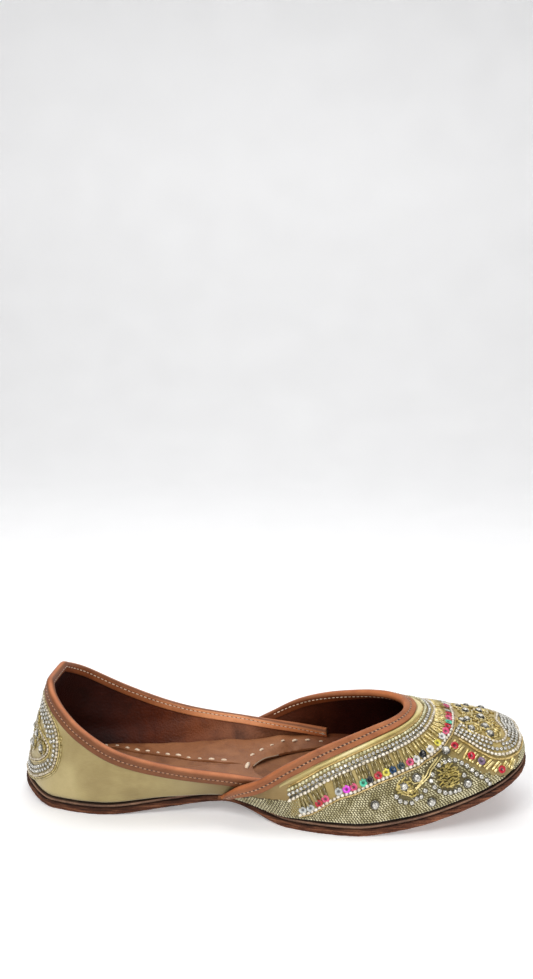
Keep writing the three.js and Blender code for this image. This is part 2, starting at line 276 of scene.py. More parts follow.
def to_frame(points):
    """From the shoe's own millimetres to the row frame in metres."""
    return (np.asarray(points, float) - (MIDDLE, 0, 0)) * MM


def make_piece(name, points, faces, materials, smooth=True, choice=None, tints=None):
    """One mesh object. faces is a list of index arrays, choice gives each face its material, and
    tints gives each point the colour that its material may read."""
    mesh = bpy.data.meshes.new(name)
    mesh.vertices.add(len(points))
    mesh.vertices.foreach_set("co", to_frame(points).astype(np.float32).ravel())
    sizes = np.concatenate([np.full(len(f), f.shape[1]) for f in faces])
    corners = np.concatenate([f.ravel() for f in faces]).astype(np.int32)
    mesh.loops.add(len(corners))
    mesh.loops.foreach_set("vertex_index", corners)
    mesh.polygons.add(len(sizes))
    mesh.polygons.foreach_set("loop_start", (np.cumsum(sizes) - sizes).astype(np.int32))
    mesh.polygons.foreach_set("use_smooth", np.full(len(sizes), smooth))
    for material in materials:
        mesh.materials.append(material)
    if choice is not None:
        mesh.polygons.foreach_set("material_index", np.asarray(choice, np.int32))
    if tints is not None:
        layer = mesh.color_attributes.new("tint", "FLOAT_COLOR", "POINT")
        layer.data.foreach_set("color", np.asarray(tints, np.float32).ravel())
    mesh.update(calc_edges=True)
    mesh.validate()
    piece = bpy.data.objects.new(name, mesh)
    bpy.context.collection.objects.link(piece)
    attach(piece, "root")
    return piece


def faced_out(points, faces):
    """The faces, turned over if they face into the solid that they close."""
    volume = 0.0
    for group in faces:
        first = points[group[:, 0]]
        for i in range(1, group.shape[1] - 1):
            volume += (first * np.cross(points[group[:, i]], points[group[:, i + 1]])).sum()
    return [group[:, ::-1] for group in faces] if volume < 0 else faces


def sweep(loops):
    """Faces over a row of closed loops of points, with a flat end at each side. loops is an array
    of loop, point in the loop, and x, y, z."""
    rows, count = loops.shape[:2]
    base = np.arange(rows - 1)[:, None] * count
    here = np.arange(count)
    there = (here + 1) % count
    sides = np.stack([base + here, base + there, base + count + there, base + count + here], -1)
    ends = np.stack([here[::-1], here + (rows - 1) * count])
    points = loops.reshape(-1, 3)
    return points, faced_out(points, [sides.reshape(-1, 4), ends])


def lathe(profile, sides, closed=False):
    """Turns a profile of (radius, height) about z. It ends on the axis, or closes on itself."""
    profile = np.asarray(profile, float)
    turn = np.arange(sides) * 2 * np.pi / sides
    ring = np.stack([np.cos(turn), np.sin(turn)], -1)
    on_axis = (profile[:, 0] < 1e-9) & (not closed)
    points = []
    start = []
    for (radius, height), single in zip(profile, on_axis):
        start.append(len(points))
        circle = ring[:1] * 0 if single else ring * radius
        points.extend([(x, y, height) for x, y in circle])
    quads, triangles = [], []
    pairs = list(range(len(profile) - 1)) + ([len(profile) - 1] if closed else [])
    for i in pairs:
        j = (i + 1) % len(profile)
        for k in range(sides):
            n = (k + 1) % sides
            if on_axis[i]:
                triangles.append((start[i], start[j] + n, start[j] + k))
            elif on_axis[j]:
                triangles.append((start[i] + k, start[i] + n, start[j]))
            else:
                quads.append((start[i] + k, start[i] + n, start[j] + n, start[j] + k))
    points = np.array(points)
    return points, faced_out(points, [np.array(f) for f in (quads, triangles) if f])


def lying(shape):
    """Turns a lathed shape so that its axis runs along x."""
    points, faces = shape
    return points[:, [2, 0, 1]], faces


class Heap:
    """Many small copies of shapes, joined into one mesh."""

    def __init__(self):
        self.points = []
        self.faces = []
        self.tints = []
        self.count = 0

    def add(self, shape, at, along, up, size=1.0, tint=(1, 1, 1, 1), shades=1.0):
        """Copies shape to each row of at, its x turned to along and its z to up. shades darkens
        each point of the shape."""
        points, faces = shape
        at = np.atleast_2d(at)
        copies = len(at)
        up = unit(np.broadcast_to(up, at.shape))
        along = np.broadcast_to(along, at.shape)
        along = unit(along - up * (along * up).sum(-1, keepdims=True))
        across = np.cross(up, along)
        axes = np.stack([along, across, up], 1)
        scale = np.broadcast_to(np.asarray(size, float), (copies,))
        scaled = points[None] * scale[:, None, None]
        self.points.append((at[:, None] + np.einsum("npk,nkc->npc", scaled, axes)).reshape(-1, 3))
        tints = np.broadcast_to(np.asarray(tint, float), (copies, 4))
        tints = np.repeat(tints, len(points), 0)
        tints[:, :3] *= np.tile(np.broadcast_to(shades, len(points)), copies)[:, None]
        self.tints.append(tints)
        shift = self.count + np.arange(copies)[:, None, None] * len(points)
        for f in faces:
            self.faces.append((f[None] + shift).reshape(-1, f.shape[1]))
        self.count += copies * len(points)

    def add_mesh(self, mesh, tint=(1, 1, 1, 1)):
        """Adds a mesh that already lies in its place."""
        points, faces = mesh
        self.points.append(points)
        self.tints.append(np.repeat(np.atleast_2d(tint), len(points), 0))
        self.faces.extend(f + self.count for f in faces)
        self.count += len(points)

    def piece(self, name, material, slot, smooth=True):
        points = np.concatenate(self.points)
        tints = np.concatenate(self.tints)
        return make_piece(name, points, self.faces, [material], smooth, tints=tints)


# Lines and drawings on the walls

def rounded(points, closed=False, steps=12):
    """A smooth line through given points, at steps to each stretch."""
    points = np.asarray(points, float)
    if closed:
        around = np.concatenate([points[-1:], points, points[:2]])
    else:
        first = 2 * points[:1] - points[1:2]
        last = 2 * points[-1:] - points[-2:-1]
        around = np.concatenate([first, points, last])
    t = (np.arange(steps) / steps)[:, None]
    stretches = []
    for a, b, c, d in zip(around, around[1:], around[2:], around[3:]):
        swing = (2 * a - 5 * b + 4 * c - d) * t**2 + (3 * b - a - 3 * c + d) * t**3
        stretches.append(b + 0.5 * ((c - a) * t + swing))
    line = np.concatenate(stretches)
    return np.concatenate([line, line[:1] if closed else points[-1:]])


def mirrored(half):
    """Joins the rows of a half outline, (along, aside), to their mirror image about aside = 0."""
    half = np.asarray(half, float)
    other = half[::-1] * (1, -1)
    skip = 1 if half[-1, 1] == 0 else 0
    return np.concatenate([half, other[skip:]])


def resample(line, count):
    run = np.concatenate([[0], np.cumsum(np.linalg.norm(np.diff(line, axis=0), axis=1))])
    at = np.linspace(0, run[-1], count)
    return np.stack([np.interp(at, run, column) for column in line.T], -1)


def beside(line, distance, closed=False):
    """The line moved aside by distance, to the left of the way it runs."""
    if closed:
        ahead = np.roll(line, -1, 0) - np.roll(line, 1, 0)
    else:
        ahead = np.gradient(line, axis=0)
    aside = unit(np.stack([-ahead[:, 1], ahead[:, 0]], -1))
    return line + aside * distance


def space_out(line, normals, pitch, closed=False):
    """Even places along a line: where they are, the way the line runs, and the way out."""
    run = np.concatenate([[0], np.cumsum(np.linalg.norm(np.diff(line, axis=0), axis=1))])
    keep = np.concatenate([[True], np.diff(run) > 1e-6])
    line, normals, run = line[keep], normals[keep], run[keep]
    count = max(int(round(run[-1] / pitch)), 1)
    at = np.linspace(0, run[-1], count + 1)
    if closed:
        at = at[:-1]
    ahead = np.gradient(line, run, axis=0)
    read = [np.stack([np.interp(at, run, c) for c in rows.T], -1) for rows in (line, ahead, normals)]
    return read[0], unit(read[1]), unit(read[2])


def vamp_chart(places):
    """Station and depth below the topline, to points and normals on the vamp."""
    station, depth = np.asarray(places, float).T
    v = vamp.v_below_top(station, depth)
    return vamp.face(station, v), vamp.normal(station, v)


HEEL_STATIONS = np.linspace(-0.6, 0.6, 241)
heel_line = quarter_face(HEEL_STATIONS, 0.5)
heel_run = np.concatenate([[0], np.cumsum(np.linalg.norm(np.diff(heel_line, axis=0), axis=1))])
heel_run -= heel_run[len(heel_run) // 2]


def heel_chart(places):
    """Height up the section and distance around the heel, to points and normals on the quarter."""
    height, around = np.asarray(places, float).T
    station = np.interp(around, heel_run, HEEL_STATIONS)
    v = np.clip(height / quarter.section_length(station), 0, 1)
    return quarter.face(station, v), quarter.normal(station, v)


def wall_tree(wall, stations=360, steps=80):
    station, v = np.meshgrid(np.linspace(-1, 1, stations), np.linspace(0, 1, steps), indexing="ij")
    points = wall.face(station, v).reshape(-1, 3)
    normals = wall.normal(station, v).reshape(-1, 3)
    first = (np.arange(stations - 1)[:, None] * steps + np.arange(steps - 1)).ravel()
    faces = np.stack([first, first + steps, first + steps + 1, first + 1], -1)
    return BVHTree.FromPolygons(points.tolist(), faces.tolist()), normals[faces].mean(1)


vamp_tree = wall_tree(vamp)


def board(origin, right, up):
    """A drawing board in front of the vamp. Its points are carried straight in to the surface."""
    origin, right, up = (np.asarray(v, float) for v in (origin, right, up))
    toward = -np.cross(right, up)
    far = 80

    def chart(places):
        tree, face_normals = vamp_tree
        points, normals = [], []
        for a, b in np.asarray(places, float):
            on_board = origin + a * right + b * up
            hit, _, index, _ = tree.ray_cast(Vector(on_board - toward * far), Vector(toward))
            if hit is None:
                hit, _, index, _ = tree.find_nearest(Vector(on_board))
            points.append(hit)
            normals.append(face_normals[index])
        return np.array(points), np.array(normals)

    return chart


# The toe board lies along the slope of the vamp, from the middle of the throat: (along, aside)
TOE_SLOPE = math.radians(16.9)
TOE_ORIGIN = (193.5, 0, 48.4)
toe_chart = board(TOE_ORIGIN, (math.cos(TOE_SLOPE), 0, -math.sin(TOE_SLOPE)), (0, 1, 0))
# The side board stands upright on the near side: (x, z)
side_chart = board((0, 0, 0), (1, 0, 0), (0, 0, 1))


def both_sides(places):
    """Places of the near side with their mirror images on the far side."""
    flip = np.array([1, -1, 1])
    return [np.concatenate([rows, rows * flip]) for rows in places]


def on_chart(chart, line, lift, pitch, closed=False):
    points, normals = chart(line)
    return space_out(points + normals * lift, normals, pitch, closed)


def tube(points, normals, radius, sides=8, twist=0.0, strands=2, relief=0.0):
    """A cord along points. Its strands stand out by relief and go round once in each twist."""
    ahead = unit(np.gradient(points, axis=0))
    out = unit(normals - ahead * (normals * ahead).sum(-1, keepdims=True))
    aside = np.cross(ahead, out)
    run = np.concatenate([[0], np.cumsum(np.linalg.norm(np.diff(points, axis=0), axis=1))])
    turn = np.arange(sides) * 2 * np.pi / sides
    phase = run[:, None] * (2 * np.pi / twist if twist else 0)
    reach = radius * (1 + relief * np.cos(strands * turn - phase))
    loops = points[:, None] + reach[..., None] * (
        np.cos(turn)[:, None] * out[:, None] + np.sin(turn)[:, None] * aside[:, None])
    return sweep(loops)


# Materials

SOCKETS = {
    "metallic": "Metallic", "roughness": "Roughness", "ior": "IOR", "specular": "Specular IOR Level",
    "coat": "Coat Weight", "coat_roughness": "Coat Roughness", "sheen": "Sheen Weight",
    "sheen_roughness": "Sheen Roughness",
}


def paint(red, green, blue):
    """A colour as seen on a screen, 0 to 255, as the linear colour that a shader takes."""
    seen = np.array([red, green, blue]) / 255
    linear = np.where(seen < 0.04045, seen / 12.92, ((seen + 0.055) / 1.055) ** 2.4)
    return (*linear.tolist(), 1.0)


class Look:
    """One procedural material, with short calls for its nodes. Sizes of grain are in millimetres."""

    def __init__(self, name, **values):
        self.material = bpy.data.materials.new(name)
        self.material.use_nodes = True
        self.tree = self.material.node_tree
        self.shader = self.tree.nodes["Principled BSDF"]
        self.place = self.node("TexCoord").outputs["Object"]
        for key, value in values.items():
            self.shader.inputs[SOCKETS[key]].default_value = value

    def node(self, kind, inputs=None, **settings):
        node = self.tree.nodes.new("ShaderNode" + kind)
        for key, value in settings.items():
            setattr(node, key, value)
        for key, value in (inputs or {}).items():
            if isinstance(value, bpy.types.NodeSocket):
                self.tree.links.new(value, node.inputs[key])
            else:
                node.inputs[key].default_value = value
        return node

    def stretched(self, stretch):
        return self.node("Mapping", {"Vector": self.place, "Scale": stretch}).outputs["Vector"]

    def noise(self, grain, detail=3.0, stretch=None, distortion=0.0):
        place = self.stretched(stretch) if stretch else self.place
        inputs = {"Vector": place, "Scale": 1000 / grain, "Detail": detail, "Distortion": distortion}
        return self.node("TexNoise", inputs).outputs["Fac"]

    def cells(self, grain, feature="F1", stretch=None):
        place = self.stretched(stretch) if stretch else self.place
        node = self.node("TexVoronoi", {"Vector": place, "Scale": 1000 / grain}, feature=feature)
        return node.outputs["Distance"]

    def threads(self, pitch, direction, distortion=0.6):
        """Fine ribs at a pitch, across X, Y or Z."""
        inputs = {"Vector": self.place, "Scale": 100 * math.pi / pitch, "Distortion": distortion}
        return self.node("TexWave", inputs, bands_direction=direction).outputs["Fac"]

    def sum(self, a, b, weight=1.0):
        return self.node("Math", {0: b, 1: weight, 2: a}, operation="MULTIPLY_ADD").outputs[0]

    def times(self, a, b):
        return self.node("Math", {0: a, 1: b}, operation="MULTIPLY").outputs[0]

    def ramp(self, value, *stops):
        node = self.node("ValToRGB", {"Fac": value})
        elements = node.color_ramp.elements
        while len(elements) < len(stops):
            elements.new(0.5)
        for element, (position, colour) in zip(elements, stops):
            element.position = position
            element.color = colour
        return node.outputs["Color"]

    def mix(self, a, b, factor=1.0, blend="MIX"):
        node = self.node("Mix", {0: factor, 6: a, 7: b}, data_type="RGBA", blend_type=blend)
        return node.outputs[2]

    def tint(self):
        return self.node("Attribute", attribute_name="tint").outputs["Color"]

    def colour(self, value):
        self.link(value, "Base Color")

    def rough(self, value, low, high):
        inputs = {"Value": value, "To Min": low, "To Max": high}
        self.link(self.node("MapRange", inputs).outputs["Result"], "Roughness")

    def bump(self, height, depth, strength=1.0):
        """Bump of a depth in millimetres."""
        inputs = {"Height": height, "Distance": depth * MM, "Strength": strength}
        self.link(self.node("Bump", inputs).outputs["Normal"], "Normal")

    def link(self, value, socket):
        if isinstance(value, bpy.types.NodeSocket):
            self.tree.links.new(value, self.shader.inputs[socket])
        else:
            self.shader.inputs[socket].default_value = value


def leather(name, dark, mid, light, grain=0.55, blotch=9.0, depth=0.06, roughness=(0.38, 0.6), coat=0.08,
            specular=0.42):
    """Leather with a pebbled grain, pores, soft blotches and a gloss that is uneven with wear. It is
    multiplied by the tint of its mesh, which carries painted highlights on the folds and edges and painted shade in
    the hollows and inside the shoe."""
    look = Look(name, specular=specular, coat=coat, coat_roughness=0.35)
    patches = look.noise(blotch, 4.0, distortion=0.4)
    pebbles = look.cells(grain)
    pores = look.noise(0.22, 2.0)
    tone = look.sum(patches, pebbles, 0.18)
    shade = look.ramp(tone, (0.3, dark), (0.5, mid), (0.78, light))
    look.colour(look.mix(shade, look.tint(), 1.0, "MULTIPLY"))
    look.rough(look.sum(patches, pores, 0.5), *roughness)
    look.bump(look.sum(look.sum(pebbles, pores, 0.35), look.noise(2.6, 2.0), 0.9), depth)
    return look.material


def satin(name, dark, mid, light, roughness=(0.42, 0.56), depth=0.035):
    """Metallic satin: fine ribs both ways, slubs, and soft cloudy patches."""
    look = Look(name, metallic=0.12, sheen=0.25, sheen_roughness=0.4, specular=0.5)
    patches = look.noise(24, 3.0, distortion=0.3)
    slubs = look.noise(0.5, 3.0, stretch=(0.18, 1, 1))
    ribs = look.sum(look.threads(0.42, "X"), look.threads(0.36, "Z"), 0.8)
    tone = look.sum(look.sum(patches, slubs, 0.16), ribs, 0.05)
    look.colour(look.mix(look.ramp(tone, (0.42, dark), (0.6, mid), (0.8, light)), look.tint(), 1.0, "MULTIPLY"))
    look.rough(look.sum(patches, slubs, 0.5), *roughness)
    look.bump(look.sum(ribs, slubs, 1.6), depth)
    return look.material


def sole_leather():
    """Rough cut edge of pressed leather: layers that run along the sole, fibres, nicks and dust."""
    look = Look("sole_leather", specular=0.25)
    layers = look.noise(1.1, 4.0, stretch=(0.09, 0.09, 1.3), distortion=0.8)
    fibres = look.noise(0.35, 3.0)
    patches = look.noise(14, 3.0)
    tone = look.sum(look.sum(layers, fibres, 0.35), patches, 0.3)
    shade = look.ramp(tone, (0.6, paint(46, 27, 19)), (0.82, paint(104, 66, 50)), (1.0, paint(156, 110, 86)))
    look.colour(look.mix(shade, look.tint(), 1.0, "MULTIPLY"))
    look.rough(tone, 0.6, 0.9)
    look.bump(look.sum(layers, fibres, 1.1), 0.4)
    return look.material


def thread_look(name, dark, light):
    """Waxed thread: fine fibres, and a little dirt."""
    look = Look(name, roughness=0.7, sheen=0.3, sheen_roughness=0.5)
    fibres = look.noise(0.3, 2.0)
    look.colour(look.mix(look.ramp(fibres, (0.3, dark), (0.65, light)), look.tint(), 1.0, "MULTIPLY"))
    look.bump(fibres, 0.08)
    return look.material


def foil(name, dark, light, metallic=0.9, roughness=(0.12, 0.3), grain=2.2, coat=0.6):
    """Silver-lined glass or wire: a bright core that varies from bead to bead."""
    look = Look(name, metallic=metallic, coat=coat, coat_roughness=0.05)
    patches = look.noise(grain, 2.0)
    look.colour(look.mix(look.ramp(patches, (0.36, dark), (0.62, light)), look.tint(), 1.0, "MULTIPLY"))
    look.rough(patches, *roughness)
    look.bump(look.noise(0.5, 1.0), 0.02)
    return look.material


tan_leather = leather("tan_leather", paint(134, 80, 47), paint(158, 97, 59), paint(174, 112, 71),
                      roughness=(0.4, 0.56), coat=0.05, specular=0.3)
lining_leather = leather("lining_leather", paint(78, 42, 26), paint(100, 57, 38), paint(120, 72, 50),
                         grain=1.0, depth=0.2, roughness=(0.42, 0.6), coat=0.04, specular=0.25)
sock_leather = leather("sock_leather", paint(118, 71, 42), paint(142, 90, 55), paint(160, 106, 68),
                       grain=0.7, depth=0.09, roughness=(0.38, 0.58), coat=0.1)
insole_leather = leather("insole_leather", paint(108, 66, 40), paint(132, 84, 52), paint(150, 100, 64),
                         grain=0.9, depth=0.07, roughness=(0.45, 0.7), coat=0.0)
welt_leather = leather("welt_leather", paint(84, 56, 44), paint(112, 80, 62), paint(160, 122, 96),
                       grain=0.6, depth=0.1, roughness=(0.5, 0.75), coat=0.0)
edge_leather = sole_leather()
gold_satin = satin("gold_satin", paint(146, 127, 78), paint(166, 148, 97), paint(184, 167, 116))
band_satin = satin("band_satin", paint(140, 118, 62), paint(172, 150, 88), paint(198, 178, 118),
                   roughness=(0.34, 0.48))
pale_satin = satin("pale_satin", paint(190, 172, 104), paint(222, 206, 138), paint(240, 228, 176),
                   roughness=(0.3, 0.42))
zari_ground = satin("zari_ground", paint(64, 56, 30), paint(92, 82, 47), paint(120, 108, 68), depth=0.06)
white_thread = thread_look("white_thread", paint(214, 180, 146), paint(250, 232, 206))
tan_thread = thread_look("tan_thread", paint(160, 112, 80), paint(206, 160, 122))
# The needle holes' look: dark marks that are painted shade in the holes
needle_hole_shade = thread_look("needle_hole_shade", paint(38, 20, 13), paint(64, 36, 24))


# Sole

def sole_outline(angle, side, inset):
    """The outsole's own edge, cut in at the waist."""
    x, y = feather(angle, SOLE_MARGIN - inset)
    y = np.maximum(y - WAIST_INSET * np.exp(-(((x - WAIST_CENTRE) / WAIST_SPREAD) ** 2)), 0)
    return x, side * y


def plate(outline, low, edge, rows=260, end=0.02, across=1, wobble=None):
    """A plate that lies along the sole. edge is its rim, (inset, height) from the bottom to the top,
    and across is the number of strips between the rims."""
    angle = np.linspace(end, np.pi - end, rows)
    rim = []
    for inset, height in edge:
        wave = wobble(angle, height) if wobble else 0
        rim.append((outline(angle, 1, inset + wave), low + height))
    near = [place_on_sole(x, -y, z) for (x, y), z in rim]
    far = [place_on_sole(x, y, z) for (x, y), z in rim]
    (x0, y0), z0 = rim[0]
    (x1, y1), z1 = rim[-1]
    steps = np.arange(1, across) / across * 2 - 1
    top = [place_on_sole(x1, y1 * s, z1) for s in steps]
    bottom = [place_on_sole(x0, -y0 * s, z0) for s in steps]
    loops = np.stack(near + top + far[::-1] + bottom, 1)
    return loops


def rough_cut(angle, height):
    """The outsole is cut by hand, so its edge wanders a little, layer by layer."""
    run = angle * 80
    wander = 0.16 * np.sin(run * 0.31 + 1.3) + 0.1 * np.sin(run * 0.83 + height) + 0.05 * np.sin(run * 2.3)
    return np.abs(wander) + 0.07 * np.sin(run * 5.1 + height * 3)


OUTSOLE_EDGE = [
    (1.1, 0), (0.45, 0.06), (0.12, 0.35), (0.0, 0.9), (0.14, 1.3), (0.02, 1.7), (0.2, 2.15),
    (0.06, 2.55), (0.12, 2.95), (0.4, 3.28), (1.2, OUTSOLE_THICK),
]
MIDSOLE_EDGE = [
    (1.5, 0), (0.85, 0.05), (0.62, 0.3), (0.55, 0.65), (0.62, 1.0), (0.9, 1.24), (1.7, MIDSOLE_THICK),
]


def build_sole():
    points, faces = sweep(plate(sole_outline, 0, OUTSOLE_EDGE, rows=420, across=6, wobble=rough_cut))
    height = points[:, 2] - under_at(points[:, 0])
    tints = np.ones((len(points), 4))
    # The outsole's edge darkens toward its top, painted shade in the groove under the midsole; it is also lighter
    # toward the toe
    tone = 0.8 - 0.3 * smooth_step(1.8, 2.9, height) - 0.25 * smooth_step(2.8, 3.3, height)
    tone = tone * np.interp(points[:, 0], (100, 135, 200, LENGTH), (0.88, 1.2, 1.35, 1.3))
    tints[:, :3] = tone[:, None] * (1.0, 0.85, 0.73)
    outsole = make_piece("outsole_leather", points, faces, [edge_leather], tints=tints)
    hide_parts("outsole")

    points, faces = sweep(plate(sole_outline, MIDSOLE_LOW, MIDSOLE_EDGE, rows=420, across=6))
    height = points[:, 2] - under_at(points[:, 0]) - MIDSOLE_LOW
    tints = np.ones((len(points), 4))
    # Painted highlight along the midsole's edge, and painted shadow at its top, under the upper
    lit = np.exp(-(((height - 1.05) / 0.3) ** 2))
    dark = 0.75 * smooth_step(1.12, 1.26, height)
    tints[:, :3] = ((0.62 + 0.5 * lit) * (1 - dark))[:, None]
    midsole = make_piece("midsole_leather", points, faces, [welt_leather], tints=tints)
    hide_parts("midsole")


# Inside: insole, and the sock with its two windows

# Half outlines of the windows: x, half width
HEEL_WINDOW = [(112, 0), (105, 1.0), (95, 2.2), (84, 4.4), (76.5, 7.2), (70, 9.2), (60, 13.4), (50, 17.6),
               (43.5, 20.6), (36, 21.6), (29, 18.4), (25, 12.0), (24, 6.0)]
FORE_WINDOW = [(117.0, 0), (120, 6.5), (127, 15.0), (135, 21.5), (144, 26.0), (156, 30.0), (183, 34.0)]
HEEL_STITCHES = [(105.5, 3.6), (95, 4.0), (84, 6.2), (76.5, 9.1), (70, 11.0), (63, 14.4), (50, 19.6), (43.5, 22.8),
                 (36, 23.8), (29, 20.5), (24.5, 13.5), (23, 5)]
NEAR_HEEL_STITCHES = HEEL_STITCHES[5:]
FORE_STITCHES = [(113.8, 10.0), (119.5, 17.3), (125, 22.0), (131, 25.6), (138, 28.4), (146, 31.0), (158, 32.5),
                 (170, 33.0)]
NEAR_FORE_STITCHES = FORE_STITCHES[4:]
LOOSE_STITCH = (107.4, -18.0)
WAIST_STITCH = (114.6, -4.6)
HEEL_STITCH_PITCH = 6.3
FORE_STITCH_PITCH = 7.2
# The sock's free edge beside the forefoot window, and its sides, which climb the walls
LIFTED = {"from": 116, "to": 138, "reach": 5.0, "height": 0.9}
CLIMB = {"from": 112, "full": 132, "inner": 6.0, "outer": 26.0, "clear": 7.0, "height": 4.4}
HEEL_PAD_RISE = 1.2


def sway(x):
    """The windows were cut by eye, and lie off the middle line at the waist."""
    return -4.5 * smooth_step(60, 108, x) * (1 - smooth_step(116, 140, x))


def inner_outline(inset_by):
    def outline(angle, side, inset):
        x, y = feather(angle, -(inset_by + inset))
        return x, side * y
    return outline


def window_outline(half, close):
    line = rounded(half, steps=8)
    if close:
        line = np.concatenate([line, [(half[-1][0] - 1.0, 0)]])
    other = line[::-1] * (1, -1)
    outline = np.concatenate([line[:-1], other]) if close else np.concatenate([line, other[:-1]])
    return outline + np.column_stack([0 * outline[:, 0], sway(outline[:, 0])])


def window_cutter(outline, name):
    """A tall prism over a window's outline."""
    low = np.column_stack([outline, np.full(len(outline), -5.0)])
    high = np.column_stack([outline, np.full(len(outline), 60.0)])
    points, faces = sweep(np.stack([low, high]))
    mesh = bpy.data.meshes.new(name)
    mesh.from_pydata(to_frame(points).tolist(), [], [list(map(int, f)) for group in faces for f in group])
    cutter = bpy.data.objects.new(name, mesh)
    bpy.context.collection.objects.link(cutter)
    return cutter


def cut(piece, cutters):
    """Cuts the windows out of a piece, and leaves no modifier on it."""
    for cutter in cutters:
        modifier = piece.modifiers.new("window", "BOOLEAN")
        modifier.operation = "DIFFERENCE"
        modifier.object = cutter
        modifier.solver = "EXACT"
    view = bpy.context.evaluated_depsgraph_get()
    result = bpy.data.meshes.new_from_object(piece.evaluated_get(view))
    piece.modifiers.clear()
    piece.data = result
    for cutter in cutters:
        bpy.data.objects.remove(cutter)


def half_width_of(window, x):
    table = np.array(sorted(window), float)
    return np.interp(x, table[:, 0], table[:, 1], left=0, right=table[-1, 1])


def sock_lift(points):
    """Lifts the sock's free edge, lets its sides climb the walls, and wrinkles its middle."""
    x, y = points[:, 0], np.abs(points[:, 1] - sway(points[:, 0]))
    gap = np.maximum(y - half_width_of(FORE_WINDOW, x), 0)
    ends = smooth_step(LIFTED["from"], LIFTED["from"] + 9, x) * (1 - smooth_step(LIFTED["to"] - 16, LIFTED["to"], x))
    lift = LIFTED["height"] * ends * np.exp(-((gap / LIFTED["reach"]) ** 2))
    climb = CLIMB["height"] * smooth_step(CLIMB["from"], CLIMB["full"], x) * (1 - smooth_step(165, 195, x))
    climb = climb * smooth_step(CLIMB["inner"], CLIMB["outer"], y) * smooth_step(0, CLIMB["clear"], gap)
    ripple = 0.22 * np.sin(x * 0.42 + 0.11 * points[:, 1]) * np.exp(-(((x - 100) / 40) ** 2))
    moved = points.copy()
    moved[:, 2] += np.maximum(lift, climb * 0.999) + 0.3 * np.minimum(lift, climb) + ripple + 0.24
    return moved


def add_stitch_row(heap, shape, line, pitch):
    """Stitches that follow a line of (x, y) on the sock."""
    line = rounded(line, steps=8)
    line[:, 1] += sway(line[:, 0])
    run = np.linalg.norm(np.diff(line, axis=0), axis=1).sum()
    count = int(run // pitch)
    even = resample(line, count * 2 + 1)
    ahead = unit(np.gradient(even, axis=0)[1::2])
    at = sock_lift(place_on_sole(even[1::2, 0], even[1::2, 1], SOCK_LOW + SOCK_THICK))
    ahead_at = even[1::2] + ahead
    there = sock_lift(place_on_sole(ahead_at[:, 0], ahead_at[:, 1], SOCK_LOW + SOCK_THICK))
    wag = 0.15 * np.sin(np.arange(count) * 2.1)
    along = there - at + np.column_stack([-ahead[:, 1] * wag, ahead[:, 0] * wag, 0 * wag])
    at[:, 2] += 0.12
    sizes = 1 + 0.24 * np.sin(np.arange(count) * 1.7 + 0.6)
    heap.add(shape, at, along, (0, 0, 1), sizes)


def stitch_shape(length, width, height, sides=6, rings=5):
    """A plump stitch that dives at both ends."""
    t = np.linspace(0, np.pi, rings + 2)[1:-1]
    x = -np.cos(t) * length / 2
    full = np.sin(t) ** 0.6
    turn = np.arange(sides) * 2 * np.pi / sides
    loops = np.stack([
        np.repeat(x[:, None], sides, 1),
        full[:, None] * np.cos(turn) * width / 2,
        full[:, None] * np.sin(turn) * height / 2 + (full[:, None] - 1) * height * 0.6,
    ], -1)
    return sweep(loops)


def inside_shade(x):
    """Painted shade on the sock and the insole: a little darker toward the heel, and dark under the vamp."""
    red = np.interp(x, (20, 90, 140, 158, 172), (0.8, 1.0, 1.0, 0.6, 0.3))
    green = np.interp(x, (20, 90, 140, 158, 172), (0.72, 1.0, 1.0, 0.42, 0.14))
    blue = np.interp(x, (20, 90, 140, 158, 172), (0.62, 1.0, 1.0, 0.34, 0.12))
    return np.stack([red, green, blue], -1)


